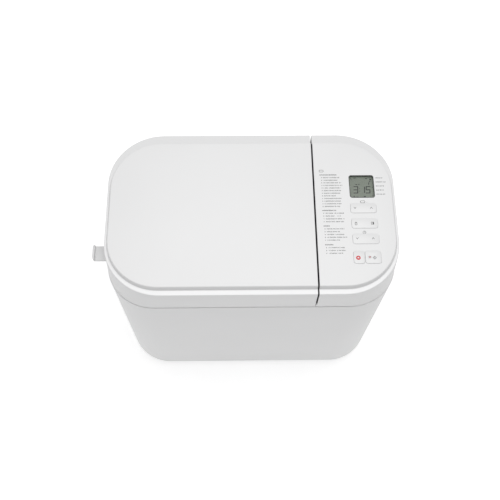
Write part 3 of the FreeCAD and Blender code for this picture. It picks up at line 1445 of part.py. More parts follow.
def control_board():
    front = "key_front - key_depth / 2 - 8"
    board = block("board", about("panel_place - board_shift", "board_width"),
                  (front, f"{front} + board_depth"), (board_low, board_top))
    sub_part(board, "control_board")


def tact_switches():
    switches = []
    spots = []
    for index in range(3):
        for sign in ("-", "+"):
            spots.append((f"panel_place {sign} plunger_arm", rocker_y(index)))
    for low, high in key_places():
        spots.append((f"(({low}) + ({high})) / 2", "key_front"))
    for x, y in spots:
        case = block("switch_case", about(x, "switch_side"), about(y, "switch_side"),
                     (board_top, f"{board_top} + switch_height"))
        button = rod("switch_top", (x, y, board_top), "1.7", "switch_height + switch_button")
        switches.append(fuse("switch", case, button))
    sub_part(group("switches", switches), "tact_switches")


def board_posts():
    """The posts that hang the control board from the housing."""
    posts = []
    middle = "panel_place - board_shift"
    for x in (f"{middle} - board_width / 2 + 5", f"{middle} + board_width / 2 - 8"):
        for y in ("key_front - key_depth / 2 - 3", "window_back + window_depth / 2 + 7"):
            posts.append(rod("post", (x, y, board_top), "post_radius - 0.5",
                             f"top_height - lid_wall + 0.5 - {board_top}"))
    return posts


def power_board():
    """The supply board with what stands on it, and the motor's capacitor on the chassis plate."""
    parts = [
        block("supply_board", ("supply_left", "supply_right"), ("supply_back", "supply_back + board_sheet"),
              ("supply_low", "supply_high")),
        rod("capacitor", ("motor_place + 10", "-chassis_depth / 2 + 16", chassis_top), "14", "48"),
        block("relay", ("supply_left + 6", "supply_left + 24"), ("supply_back - 16", "supply_back"),
              ("supply_low + 10", "supply_low + 38")),
        block("transformer", ("supply_left + 34", "supply_left + 70"), ("supply_back - 32", "supply_back"),
              ("supply_low + 6", "supply_low + 42")),
        rod("smoothing", ("supply_left + 50", "supply_back - 18", "supply_high - 23"), "8", "18", "y"),
        block("triac_sink", ("supply_left + 4", "supply_left + 30"), ("supply_back - 24", "supply_back"),
              ("supply_high - 41", "supply_high - 9")),
    ]
    sub_part(group("supply_parts", parts), "power_board")


def board_bracket():
    """A plate behind the supply board, a shelf towards the front and a leg down to the chassis plate."""
    span = ("supply_left - 2", "supply_right + 2")
    rear = "supply_back + board_sheet"
    front = "supply_back - bracket_reach"
    plate = block("bracket_plate", span, (rear, f"{rear} + bracket_sheet"),
                  ("bracket_shelf", "supply_high + 5"))
    foot = block("bracket_foot", span, (f"{front} + bracket_sheet", f"{rear} + bracket_sheet"),
                 ("bracket_shelf - bracket_sheet", "bracket_shelf"))
    leg = block("bracket_leg", ("supply_right - 16", "supply_right + 2"), (front, f"{front} + bracket_sheet"),
                (chassis_top, "bracket_shelf"))
    sub_part(fuse("power_bracket_solid", plate, foot, leg), "power_bracket")


def check_document():
    doc.recompute()
    for thing in doc.Objects:
        if {"Invalid", "Error"} & set(thing.State):
            raise RuntimeError(f"{thing.Label} ({thing.Name}) did not recompute: {thing.State}")
    for thing in sub_parts:
        if thing.Shape.isNull() or not thing.Shape.isValid() or not thing.Shape.Solids:
            raise RuntimeError(thing.Label + " has no valid solid")


fill_sheet()
for build in (body_shell, base_plate, foot_pads, case_screws, cord_hook, cord_inlet, top_deck,
              lid_cover, steam_vent, lid_frame, lid_seal, lid_liner, lid_screws,
              hinge_arms, hinge_brackets, hinge_pins, hinge_cover,
              chamber_liner, heater_element, heater_clips, chamber_sensor, heat_shield,
              pan_shell, pan_base_ring, pan_mount_ring, pan_bush, pan_shaft, pan_coupler,
              kneading_blade, handle_ears, pan_handle, handle_grip,
              chassis_plate, bearing_housing, drive_bushes, drive_shaft,
              drive_pulley, motor_pulley, drive_belt, drive_coupler,
              motor_brackets, motor_stator, motor_screws, motor_grommets, motor_rotor,
              motor_shaft, motor_fan,
              control_housing, lcd_window, lcd_module, start_lamp, control_board, tact_switches,
              power_board, board_bracket):
    build()
for index, label in enumerate(("menu_rocker", "option_rocker", "timer_rocker")):
    rocker(index, label)
square_key(0, "stop_key")
square_key(1, "start_key")
check_document()
os.makedirs("parts", exist_ok=True)
for thing in sub_parts:
    thing.Shape.exportStep(f"parts/{thing.Label}.step")
    box = thing.Shape.BoundBox
    print(f"{thing.Label}: {len(thing.Shape.Solids)} solid(s), "
          f"{box.XLength:.1f} x {box.YLength:.1f} x {box.ZLength:.1f} mm")
print(len(sub_parts), "sub-parts")
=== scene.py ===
import json
import math
from contextlib import contextmanager

import bmesh
import bpy
from mathutils import Matrix, Vector


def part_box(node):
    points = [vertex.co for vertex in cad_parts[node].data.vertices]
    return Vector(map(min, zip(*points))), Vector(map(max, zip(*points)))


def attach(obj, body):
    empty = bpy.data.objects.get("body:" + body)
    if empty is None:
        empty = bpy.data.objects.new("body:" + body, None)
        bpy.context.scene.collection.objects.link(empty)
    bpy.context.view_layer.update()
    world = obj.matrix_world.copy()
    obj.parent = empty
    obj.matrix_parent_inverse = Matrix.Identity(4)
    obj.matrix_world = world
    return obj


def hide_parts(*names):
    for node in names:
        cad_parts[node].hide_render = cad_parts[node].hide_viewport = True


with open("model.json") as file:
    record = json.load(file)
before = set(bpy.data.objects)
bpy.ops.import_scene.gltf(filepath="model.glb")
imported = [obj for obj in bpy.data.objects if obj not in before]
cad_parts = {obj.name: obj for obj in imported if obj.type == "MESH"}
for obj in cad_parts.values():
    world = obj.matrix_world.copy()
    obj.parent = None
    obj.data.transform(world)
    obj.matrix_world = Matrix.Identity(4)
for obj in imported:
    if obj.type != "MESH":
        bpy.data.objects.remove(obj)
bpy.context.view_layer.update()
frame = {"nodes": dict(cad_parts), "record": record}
mm = 0.001
bodies = frame["record"]["behaviour"]["bodies"]
bodyOf = {node: body for body, nodes in bodies.items() for node in nodes}
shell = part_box("body_shell")
middleX = (shell[0].x + shell[1].x) / 2

# the camera stands high over the front and looks down on the lid

cameraView = {"lens": 54.27, "sensor": 36,
              "place": (middleX - 19.87 * mm, -472.56 * mm, 1296.66 * mm),
              "downward": 66.27, "turn": 2.34, "roll": -1.74}


def makeCamera():
    data = bpy.data.cameras.new("camera")
    data.lens = cameraView["lens"]
    data.sensor_width = cameraView["sensor"]
    camera = bpy.data.objects.new("camera", data)
    turn, down, roll = (math.radians(cameraView[key]) for key in ("turn", "downward", "roll"))
    forward = Vector((math.sin(turn) * math.cos(down), math.cos(turn) * math.cos(down), -math.sin(down)))
    right = forward.cross(Vector((0, 0, 1))).normalized()
    right = Matrix.Rotation(roll, 3, forward) @ right
    up = right.cross(forward)
    camera.matrix_world = Matrix((right, up, -forward)).transposed().to_4x4()
    camera.location = cameraView["place"]
    bpy.context.scene.collection.objects.link(camera)
    bpy.context.scene.camera = camera


makeCamera()
print("camera placed")

# a pale floor that glows a little, an even surround and two large soft lights

studio = {"floor": 8.0, "floorDrop": 0.1 * mm, "floorTone": 0.8, "floorGlow": 0.4, "surround": 0.5,
          "topPower": 30, "topSize": 2.0, "topPlace": (0.1, 0.15, 2.3),
          "sidePower": 1.0, "sideSize": 1.6, "sidePlace": (-1.9, -0.9, 1.0)}


def areaLight(name, place, size, power):
    data = bpy.data.lights.new(name, "AREA")
    data.shape = "DISK"
    data.size = size
    data.energy = power
    light = bpy.data.objects.new(name, data)
    light.location = place
    light.rotation_euler = (Vector((0, 0, 0.2)) - Vector(place)).to_track_quat("-Z", "Y").to_euler()
    bpy.context.scene.collection.objects.link(light)


def makeStudio():
    world = bpy.data.worlds.new("surround")
    world.use_nodes = True
    background = world.node_tree.nodes["Background"]
    background.inputs["Color"].default_value = (1, 1, 1, 1)
    background.inputs["Strength"].default_value = studio["surround"]
    bpy.context.scene.world = world
    areaLight("topLight", studio["topPlace"], studio["topSize"], studio["topPower"])
    areaLight("sideLight", studio["sidePlace"], studio["sideSize"], studio["sidePower"])
    half = studio["floor"] / 2
    mesh = bpy.data.meshes.new("floor")
    low = -studio["floorDrop"]
    corners = [(-half, -half, low), (half, -half, low), (half, half, low), (-half, half, low)]
    mesh.from_pydata(corners, [], [(0, 1, 2, 3)])
    floor = bpy.data.objects.new("floor", mesh)
    paint = bpy.data.materials.new("floorPaint")
    paint.use_nodes = True
    shader = paint.node_tree.nodes["Principled BSDF"]
    shader.inputs["Base Color"].default_value = (studio["floorTone"],) * 3 + (1,)
    shader.inputs["Roughness"].default_value = 0.9
    shader.inputs["Emission Color"].default_value = (1, 1, 1, 1)
    shader.inputs["Emission Strength"].default_value = studio["floorGlow"]
    mesh.materials.append(paint)
    bpy.context.scene.collection.objects.link(floor)
    bpy.context.scene.view_settings.view_transform = "Standard"


makeStudio()
print("studio lit")

# materials


class Paint:
    def __init__(self, name, colour, rough, metal=0.0):
        self.material = bpy.data.materials.new(name)
        self.material.use_nodes = True
        self.tree = self.material.node_tree
        self.shader = self.tree.nodes["Principled BSDF"]
        self.shader.inputs["Base Color"].default_value = (*colour, 1)
        self.shader.inputs["Roughness"].default_value = rough
        self.shader.inputs["Metallic"].default_value = metal
        self.place = self.tree.nodes.new("ShaderNodeTexCoord").outputs["Object"]

    def mapped(self, stretch=(1, 1, 1)):
        node = self.tree.nodes.new("ShaderNodeMapping")
        node.inputs["Scale"].default_value = stretch
        self.tree.links.new(self.place, node.inputs["Vector"])
        return node.outputs["Vector"]

    def noise(self, scale, detail=2.0, stretch=(1, 1, 1)):
        node = self.tree.nodes.new("ShaderNodeTexNoise")
        node.inputs["Scale"].default_value = scale
        node.inputs["Detail"].default_value = detail
        self.tree.links.new(self.mapped(stretch), node.inputs["Vector"])
        return node.outputs["Fac"]

    def cells(self, scale, feature="F1", output="Distance"):
        node = self.tree.nodes.new("ShaderNodeTexVoronoi")
        node.feature = feature
        node.inputs["Scale"].default_value = scale
        self.tree.links.new(self.mapped(), node.inputs["Vector"])
        return node.outputs[output]

    def bands(self, scale, direction="Z", distortion=0.0):
        node = self.tree.nodes.new("ShaderNodeTexWave")
        node.bands_direction = direction
        node.inputs["Scale"].default_value = scale
        node.inputs["Distortion"].default_value = distortion
        self.tree.links.new(self.place, node.inputs["Vector"])
        return node.outputs["Fac"]

    def ramp(self, value, stops):
        node = self.tree.nodes.new("ShaderNodeValToRGB")
        marks = node.color_ramp.elements
        while len(marks) < len(stops):
            marks.new(0.5)
        for mark, (at, colour) in zip(marks, stops):
            mark.position = at
            mark.color = (*colour, 1)
        self.tree.links.new(value, node.inputs["Fac"])
        return node.outputs["Color"]

    def tint(self, value, low, high, start=0.3, stop=0.7):
        colour = self.ramp(value, ((start, low), (stop, high)))
        self.tree.links.new(colour, self.shader.inputs["Base Color"])
        return self

    def gloss(self, value, low, high):
        node = self.tree.nodes.new("ShaderNodeMapRange")
        node.inputs["To Min"].default_value = low
        node.inputs["To Max"].default_value = high
        self.tree.links.new(value, node.inputs["Value"])
        self.tree.links.new(node.outputs["Result"], self.shader.inputs["Roughness"])
        return self

    def relief(self, value, depth, strength=0.5):
        node = self.tree.nodes.new("ShaderNodeBump")
        node.inputs["Strength"].default_value = strength
        node.inputs["Distance"].default_value = depth
        self.tree.links.new(value, node.inputs["Height"])
        if self.shader.inputs["Normal"].is_linked:
            before = self.shader.inputs["Normal"].links[0].from_socket
            self.tree.links.new(before, node.inputs["Normal"])
        self.tree.links.new(node.outputs["Normal"], self.shader.inputs["Normal"])
        return self

    def coat(self, weight, rough):
        self.shader.inputs["Coat Weight"].default_value = weight
        self.shader.inputs["Coat Roughness"].default_value = rough
        return self


def shade(colour, factor):
    return tuple(min(1.0, part * factor) for part in colour)


def moulded(name, colour, rough, grain=1400, depth=0.00004, vary=0.985):
    paint = Paint(name, colour, rough)
    paint.tint(paint.noise(9, 3), shade(colour, vary), colour)
    paint.gloss(paint.noise(220, 2), rough - 0.04, rough + 0.05)
    paint.relief(paint.noise(grain, 2), depth, 0.35)
    return paint.material


def brushed(name, colour, rough):
    paint = Paint(name, colour, rough, 1.0)
    lines = paint.noise(3, 4, (8, 900, 8))
    paint.tint(lines, shade(colour, 0.86), shade(colour, 1.08), 0.2, 0.8)
    paint.gloss(lines, rough - 0.06, rough + 0.1)
    paint.relief(lines, 0.00003, 0.3)
    return paint.material


def turnedMetal(name, colour, rough):
    paint = Paint(name, colour, rough, 1.0)
    rings = paint.bands(900, "Z", 0.6)
    paint.tint(paint.noise(70, 4), shade(colour, 0.9), shade(colour, 1.05))
    paint.gloss(paint.noise(260, 3), rough - 0.05, rough + 0.08)
    paint.relief(rings, 0.00001, 0.25)
    return paint.material


def spangled(name, colour, rough):
    paint = Paint(name, colour, rough, 1.0)
    flakes = paint.cells(110, "F1", "Color")
    grey = paint.tree.nodes.new("ShaderNodeRGBToBW")
    paint.tree.links.new(flakes, grey.inputs["Color"])
    paint.tint(grey.outputs["Val"], shade(colour, 0.84), shade(colour, 1.1), 0.0, 1.0)
    paint.gloss(grey.outputs["Val"], rough - 0.08, rough + 0.08)
    paint.relief(paint.noise(500, 3), 0.00003, 0.3)
    return paint.material


def castMetal(name, colour, rough):
    paint = Paint(name, colour, rough, 1.0)
    paint.tint(paint.noise(40, 5), shade(colour, 0.88), shade(colour, 1.06))
    paint.gloss(paint.noise(300, 3), rough - 0.05, rough + 0.12)
    paint.relief(paint.noise(900, 3), 0.00012, 0.4)
    return paint.material


def nonStick(name, colour, rough):
    paint = Paint(name, colour, rough)
    specks = paint.cells(1500)
    paint.tint(specks, shade(colour, 1.9), colour, 0.06, 0.2)
    paint.gloss(paint.noise(30, 4), rough - 0.05, rough + 0.08)
    paint.relief(paint.noise(1600, 2), 0.00004, 0.4)
    return paint.coat(0.25, 0.3).material


def rubber(name, colour, rough):
    paint = Paint(name, colour, rough)
    paint.tint(paint.noise(60, 4), shade(colour, 0.85), shade(colour, 1.15))
    paint.gloss(paint.noise(500, 2), rough - 0.06, rough + 0.05)
    paint.relief(paint.noise(1500, 2), 0.00006, 0.45)
    return paint.material


def stacked(name, colour, rough, pitch, metal):
    paint = Paint(name, colour, rough, metal)
    layers = paint.bands(math.pi / pitch / 10, "Z")
    paint.tint(layers, shade(colour, 0.7), shade(colour, 1.12), 0.1, 0.6)
    paint.relief(layers, 0.0001, 0.5)
    paint.gloss(paint.noise(200, 2), rough - 0.05, rough + 0.08)
    return paint.material


def circuit(name, colour):
    paint = Paint(name, colour, 0.4)
    tracks = paint.cells(240, "DISTANCE_TO_EDGE")
    paint.tint(tracks, shade(colour, 1.7), colour, 0.02, 0.07)
    paint.gloss(paint.noise(90, 2), 0.32, 0.46)
    paint.relief(tracks, 0.00003, 0.3)
    return paint.coat(0.3, 0.2).material


def heatedSheath(name, colour):
    paint = Paint(name, colour, 0.5, 0.8)
    paint.tint(paint.noise(14, 4), shade(colour, 0.75), (0.34, 0.28, 0.24), 0.35, 0.75)
    paint.gloss(paint.noise(240, 3), 0.42, 0.6)
    paint.relief(paint.noise(900, 3), 0.00005, 0.4)
    return paint.material


def paintedLedgeLight(name, front, back):
    # painted light: a painted highlight at the front edge, fading to painted shade at the back
    paint = Paint(name, front, 0.36)
    apart = paint.tree.nodes.new("ShaderNodeSeparateXYZ")
    paint.tree.links.new(paint.place, apart.inputs[0])
    along = paint.tree.nodes.new("ShaderNodeMapRange")
    along.inputs["From Min"].default_value = -0.13
    along.inputs["From Max"].default_value = 0.13
    paint.tree.links.new(apart.outputs["Y"], along.inputs["Value"])
    paint.tint(along.outputs["Result"], front, back, 0.1, 0.8)
    paint.gloss(paint.noise(220, 2), 0.33, 0.4)
    paint.relief(paint.noise(1600, 2), 0.00003, 0.35)
    return paint.material


def ink(name, colour):
    paint = Paint(name, colour, 0.5)
    paint.tint(paint.noise(2500, 1), shade(colour, 0.92), shade(colour, 1.06))
    paint.gloss(paint.noise(1200, 1), 0.44, 0.56)
    return paint.material


def clearWindow(name):
    paint = Paint(name, (0.42, 0.46, 0.42), 0.08)
    paint.gloss(paint.noise(60, 2), 0.05, 0.1)
    paint.shader.inputs["Alpha"].default_value = 0.03
    paint.shader.inputs["Specular IOR Level"].default_value = 0.1
    return paint.material


def displayField(name):
    paint = Paint(name, (0.17, 0.2, 0.16), 0.35)
    paint.tint(paint.noise(40, 2), (0.142, 0.166, 0.132), (0.168, 0.192, 0.155))
    paint.gloss(paint.noise(500, 1), 0.3, 0.4)
    return paint.material


paints = {
    "white_plastic": moulded("whitePlastic", (0.706, 0.706, 0.709), 0.42),
    "key_white": moulded("keyPlastic", (0.69, 0.69, 0.692), 0.36, 2200, 0.00002),
    "inner_plastic": moulded("innerPlastic", (0.66, 0.66, 0.67), 0.45),
    "base_plastic": moulded("basePlastic", (0.52, 0.52, 0.53), 0.5),
    "black_plastic": moulded("blackPlastic", (0.028, 0.028, 0.03), 0.42, 900, 0.00006, 0.8),
    "rubber_grey": rubber("greyRubber", (0.13, 0.13, 0.13), 0.75),
    "black_rubber": rubber("blackRubber", (0.025, 0.025, 0.026), 0.65),
    "silicone": rubber("siliconeSeal", (0.62, 0.62, 0.6), 0.45),
    "bright_aluminium": brushed("brightAluminium", (0.82, 0.82, 0.83), 0.28),
    "galvanised_sheet": spangled("galvanisedSheet", (0.54, 0.55, 0.56), 0.44),
    "hinge_steel": turnedMetal("turnedSteel", (0.62, 0.62, 0.63), 0.3),
    "zinc_steel": turnedMetal("zincSteel", (0.68, 0.68, 0.66), 0.34),
    "heater_sheath": heatedSheath("heaterSheath", (0.2, 0.19, 0.185)),
    "core_steel": stacked("laminatedCore", (0.3, 0.3, 0.31), 0.45, 0.0012, 1.0),
    "cast_aluminium": castMetal("castAluminium", (0.66, 0.66, 0.67), 0.42),
    "nonstick_coating": nonStick("nonStickCoating", (0.045, 0.045, 0.048), 0.38),
    "brass_bush": turnedMetal("sinteredBrass", (0.74, 0.56, 0.26), 0.4),
    "display_window": clearWindow("clearWindow"),
    "display_cell": moulded("displayFrame", (0.05, 0.055, 0.05), 0.4),
    "lamp_red": moulded("lampRed", (0.62, 0.03, 0.03), 0.2),
    "board_green": circuit("circuitBoard", (0.03, 0.14, 0.07)),
}
# painted shade: the cord hook is the case's white plastic, painted darker for the shade it sits in
hookPlastic = moulded("hookPlastic", (0.65, 0.65, 0.652), 0.45)
topSatin = moulded("topSatin", (0.706, 0.706, 0.708), 0.44, 1800, 0.00003)
# painted light: the ledge is painted lighter than the white plastic at the front and darker at the back
ledgeWhite = paintedLedgeLight("ledgeWhite", (0.765, 0.765, 0.768), (0.672, 0.672, 0.674))
copperWire = stacked("windingWire", (0.5, 0.22, 0.08), 0.35, 0.0009, 1.0)
greyInk = ink("greyInk", (0.11, 0.11, 0.112))
darkInk = ink("darkInk", (0.06, 0.06, 0.062))
redInk = ink("redInk", (0.55, 0.03, 0.04))
segmentInk = ink("segmentInk", (0.008, 0.01, 0.008))
fieldPaint = displayField("displayField")
slotOf = {row["node"]: row["material_slot"] for row in frame["record"]["subparts"]}
print("materials mixed")

# shared ways of making a piece


def makeObject(name, mesh, material):
    mesh.name = name
    mesh.materials.append(material)
    piece = bpy.data.objects.new(name, mesh)
    bpy.context.scene.collection.objects.link(piece)
    return piece


def finishedData(mesh, name):
    # the data of a new edit mesh, which is used up
    data = bpy.data.meshes.new(name)
    mesh.to_mesh(data)
    mesh.free()
    return data


@contextmanager
def reworked(data):
    # an edit mesh of the data, written back at the end of the block
    mesh = bmesh.new()
    mesh.from_mesh(data)
    yield mesh
    mesh.to_mesh(data)
    mesh.free()


def quarter(count):
    # the angles of a quarter turn
    return [math.radians(90 * step / count) for step in range(count + 1)]


def outline(left, right, front, back, radii, steps=(14, 14, 14, 14)):
    corners = ((right, front, -90), (right, back, 0), (left, back, 90), (left, front, 180))
    points = []
    for (x, y, start), radius, count in zip(corners, radii, steps):
        towardsX = math.copysign(1, math.cos(math.radians(start + 45)))
        towardsY = math.copysign(1, math.sin(math.radians(start + 45)))
        for step in range(count + 1):
            angle = math.radians(start + 90 * step / count)
            points.append((x - towardsX * radius + radius * math.cos(angle),
                           y - towardsY * radius + radius * math.sin(angle)))
    return points


def flatLoop(points, z):
    return [Vector((x, y, z)) for x, y in points]


def evenLoop(limits, inset, corner, steps, z):
    # a rounded rectangle set in from left, right, front and back, its corners alike
    left, right, front, back = limits
    return flatLoop(outline(left + inset, right - inset, front + inset, back - inset, (corner,) * 4,
                            (steps,) * 4), z)


def sidesOf(low, high):
    return low.x, high.x, low.y, high.y


def stack(name, loops, material, closed=False):
    mesh = bmesh.new()
    rings = [[mesh.verts.new(point) for point in loop] for loop in loops]
    following = rings[1:] + rings[:1] if closed else rings[1:]
    for low, high in zip(rings, following):
        for index in range(len(low)):
            after = (index + 1) % len(low)
            mesh.faces.new((low[index], low[after], high[after], high[index]))
    if not closed:
        mesh.faces.new(reversed(rings[0]))
        mesh.faces.new(rings[-1])
    bmesh.ops.recalc_face_normals(mesh, faces=mesh.faces)
    return smoothed(makeObject(name, finishedData(mesh, name), material))


def smoothed(piece, angle=35):
    piece.data.shade_smooth()
    piece.data.set_sharp_from_angle(angle=math.radians(angle))
    return piece


def applyModifiers(piece):
    bpy.context.view_layer.update()
    found = piece.evaluated_get(bpy.context.evaluated_depsgraph_get())
    mesh = bpy.data.meshes.new_from_object(found)
    piece.modifiers.clear()
    piece.data = mesh
    return piece


def carve(piece, *cutters):
    for cutter in cutters:
        tool = piece.modifiers.new("carve", "BOOLEAN")
        tool.operation = "DIFFERENCE"
        tool.solver = "EXACT"
        tool.object = cutter
    applyModifiers(piece)
    for cutter in cutters:
        bpy.data.objects.remove(cutter)
    return smoothed(piece)


def joined(name, pieces):
    mesh = bmesh.new()
    materials = []
    for piece in pieces:
        before = len(mesh.faces)
        mesh.from_mesh(piece.data)
        mesh.faces.ensure_lookup_table()
        for face in mesh.faces[before:]:
            material = piece.data.materials[face.material_index]
            if material not in materials:
                materials.append(material)
            face.material_index = materials.index(material)
    data = finishedData(mesh, name)
    for piece in pieces:
        bpy.data.objects.remove(piece)
    whole = makeObject(name, data, materials[0])
    for material in materials[1:]:
        data.materials.append(material)
    return whole


def place(piece, node):
    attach(piece, bodyOf[node])
    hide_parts(node)
    return piece


def roundedCorner(radius, count=4, hollow=False):
    # pairs of (inwards, upwards) from the side to the top of a rounded edge
    if hollow:
        return [(radius * math.sin(angle) - radius, radius * (1 - math.cos(angle))) for angle in quarter(count)]
    return [(radius * (1 - math.cos(angle)), radius * (math.sin(angle) - 1)) for angle in quarter(count)]


def slab(name, low, high, material, corner=0.0, edge=0.0):
    # a block with round upright corners and a rounded top and bottom edge
    corner = max(corner, edge + 0.00005)
    levels = [(inwards, low.z - upwards) for inwards, upwards in reversed(roundedCorner(edge, 3))]
    levels += [(inwards, high.z + upwards) for inwards, upwards in roundedCorner(edge, 3)]
    return stack(name, [evenLoop(sidesOf(low, high), inset, corner - inset * 0.9, 6, z) for inset, z in levels],
                 material)


nearAxis = 0.0001


def lathe(name, centre, profile, material, axis="Z", count=48):
    # profile: pairs of (radius, distance along the axis), closed on itself
    turn = {"Z": Matrix.Identity(3), "Y": Matrix.Rotation(math.radians(-90), 3, "X"),
            "X": Matrix.Rotation(math.radians(90), 3, "Y")}[axis]
    angles = [2 * math.pi * step / count for step in range(count)]
    loops = []
    for radius, along in profile:
        spots = [Vector((radius * math.cos(angle), radius * math.sin(angle), along)) for angle in angles]
        loops.append([Vector(centre) + turn @ spot for spot in spots])
    return stack(name, loops, material, closed=True)


def holeTool(centre, radius, length, material, axis="Z", count=48):
    shape = ((nearAxis, 0), (radius, 0), (radius, length), (nearAxis, length))
    return lathe("hole", centre, shape, material, axis, count)


def refined(node, edge, material=None, angle=40):
    # the frame's own shape with its doubles merged, its flat faces made whole and its edges broken
    mesh = bmesh.new()
    mesh.from_mesh(frame["nodes"][node].data)
    bmesh.ops.remove_doubles(mesh, verts=mesh.verts, dist=2e-6)
    bmesh.ops.dissolve_limit(mesh, angle_limit=math.radians(1), verts=mesh.verts, edges=mesh.edges,
                             delimit={"NORMAL"})
    data = finishedData(mesh, node)
    words = node.split("_")
    name = words[0] + "".join(word.capitalize() for word in words[1:])
    piece = makeObject(name, data, material or paints[slotOf[node]])
    if edge:
        bevel = piece.modifiers.new("edge", "BEVEL")
        bevel.width = edge
        bevel.segments = 2
        bevel.limit_method = "ANGLE"
        bevel.angle_limit = math.radians(angle)
        applyModifiers(piece)
    return smoothed(piece, 32)


def repaint(piece, material, wanted):
    # wanted takes the middle of a face and says whether it gets the material
    piece.data.materials.append(material)
    index = len(piece.data.materials) - 1
    for face in piece.data.polygons:
        if wanted(face.center):
            face.material_index = index


def solidsOf(node):
    # the box of each separate solid of a node
    mesh = bmesh.new()
    mesh.from_mesh(frame["nodes"][node].data)
    bmesh.ops.remove_doubles(mesh, verts=mesh.verts, dist=2e-6)
    left = set(mesh.verts)
    boxes = []
    while left:
        reached = [left.pop()]
        found = list(reached)
        while reached:
            for edge in reached.pop().link_edges:
                for vertex in edge.verts:
                    if vertex in left:
                        left.discard(vertex)
                        reached.append(vertex)
                        found.append(vertex)
        low = Vector([min(vertex.co[axis] for vertex in found) for axis in range(3)])
        high = Vector([max(vertex.co[axis] for vertex in found) for axis in range(3)])
        boxes.append((low, high))
    mesh.free()
    return sorted(boxes, key=lambda pair: tuple(round(part, 4) for part in pair[0]))


def newTree(name, inputs):
    tree = bpy.data.node_groups.new(name, "GeometryNodeTree")
    for label, kind in inputs:
        tree.interface.new_socket(label, in_out="INPUT", socket_type="NodeSocket" + kind)
    tree.interface.new_socket("Geometry", in_out="OUTPUT", socket_type="NodeSocketGeometry")
    return tree, tree.nodes.new("NodeGroupInput").outputs


def addNode(tree, kind, settings=(), **inputs):
    node = tree.nodes.new(kind)
    for key, value in settings:
        setattr(node, key, value)
    for label, value in inputs.items():
        socket = node.inputs[label.replace("_", " ")]
        if isinstance(value, bpy.types.NodeSocket):
            tree.links.new(value, socket)
        else:
            socket.default_value = value
    return node


def endTree(tree, geometry, material):
    real = addNode(tree, "GeometryNodeRealizeInstances", Geometry=geometry)
    painted = addNode(tree, "GeometryNodeSetMaterial", Geometry=real.outputs[0], Material=material)
    out = tree.nodes.new("NodeGroupOutput")
    tree.links.new(painted.outputs[0], out.inputs[0])


def runTree(name, tree, values, material):
    piece = makeObject(name, bpy.data.meshes.new(name), material)
    modifier = piece.modifiers.new("nodes", "NODES")
    modifier.node_group = tree
    sockets = {item.name: item.identifier for item in tree.interface.items_tree if item.in_out == "INPUT"}
    for label, value in values.items():
        modifier[sockets[label]] = value
    applyModifiers(piece)
    piece.data.name = name
    return smoothed(piece)


def sweepTree():
    # a closed profile carried round a rounded rectangle
    tree, given = newTree("sweptRound", (("Width", "Float"), ("Depth", "Float"), ("Corner", "Float"),
                                         ("Corner Steps", "Int"), ("Middle", "Vector"),
                                         ("Profile", "Object"), ("Material", "Material")))
    path = addNode(tree, "GeometryNodeCurvePrimitiveQuadrilateral", Width=given["Width"],
                   Height=given["Depth"])
    rounded = addNode(tree, "GeometryNodeFilletCurve", Curve=path.outputs[0], Radius=given["Corner"])
    if "Mode" in rounded.inputs:
        rounded.inputs["Mode"].default_value = "Poly"
    else:
        rounded.mode = "POLY"
    tree.links.new(given["Corner Steps"], rounded.inputs["Count"])
    upright = addNode(tree, "GeometryNodeSetCurveNormal", Curve=rounded.outputs[0])
    if "Mode" in upright.inputs:
        upright.inputs["Mode"].default_value = "Z Up"
    else:
        upright.mode = "Z_UP"
    profile = addNode(tree, "GeometryNodeObjectInfo", Object=given["Profile"])
    swept = addNode(tree, "GeometryNodeCurveToMesh", Curve=upright.outputs[0])
    tree.links.new(profile.outputs["Geometry"], swept.inputs["Profile Curve"])
    moved = addNode(tree, "GeometryNodeTransform", Geometry=swept.outputs[0], Translation=given["Middle"])
    endTree(tree, moved.outputs[0], given["Material"])
    return tree


def sweep(name, width, depth, corner, middle, profile, material, steps=22):
    # profile: pairs of (outwards, up) round the wall's section
    line = bpy.data.curves.new("profile", "CURVE")
    spline = line.splines.new("POLY")
    spline.points.add(len(profile) - 1)
    for point, (outwards, up) in zip(spline.points, profile):
        point.co = (outwards, -up, 0, 1)
    spline.use_cyclic_u = True
    guide = bpy.data.objects.new("profile", line)
    bpy.context.scene.collection.objects.link(guide)
    piece = runTree(name, sweptRound, {
        "Width": width, "Depth": depth, "Corner": corner, "Corner Steps": steps, "Middle": middle,
        "Profile": guide, "Material": material}, material)
    bpy.data.objects.remove(guide)
    with reworked(piece.data) as mesh:
        bmesh.ops.recalc_face_normals(mesh, faces=mesh.faces)
    return smoothed(piece)


sweptRound = sweepTree()


def copiesTree():
    # one shape set on every point of a set of places
    tree, given = newTree("copiesOnPoints", (("Places", "Object"), ("Shape", "Object"),
                                             ("Material", "Material")))
    places = addNode(tree, "GeometryNodeObjectInfo", Object=given["Places"])
    shape = addNode(tree, "GeometryNodeObjectInfo", Object=given["Shape"])
    copies = addNode(tree, "GeometryNodeInstanceOnPoints", Points=places.outputs["Geometry"],
                     Instance=shape.outputs["Geometry"])
    endTree(tree, copies.outputs[0], given["Material"])
    return tree


copiesOnPoints = copiesTree()


def copies(name, shape, places, material):
    # the shape stands at the origin and is used up
    marks = makeObject("places", bpy.data.meshes.new("places"), material)
    marks.data.from_pydata([tuple(point) for point in places], [], [])
    piece = runTree(name, copiesOnPoints, {"Places": marks, "Shape": shape, "Material": material}, material)
    bpy.data.objects.remove(marks)
    bpy.data.objects.remove(shape)
    return piece


# lower case: one wall swept round a rounded rectangle, leaning in to a large bottom radius

lowerCase = {"corner": 68 * mm, "lean": 2 * mm, "bottomRound": 26 * mm, "wall": 2.8 * mm,
             "lip": 10 * mm, "edge": 0.5 * mm, "inlet": 7.5 * mm}


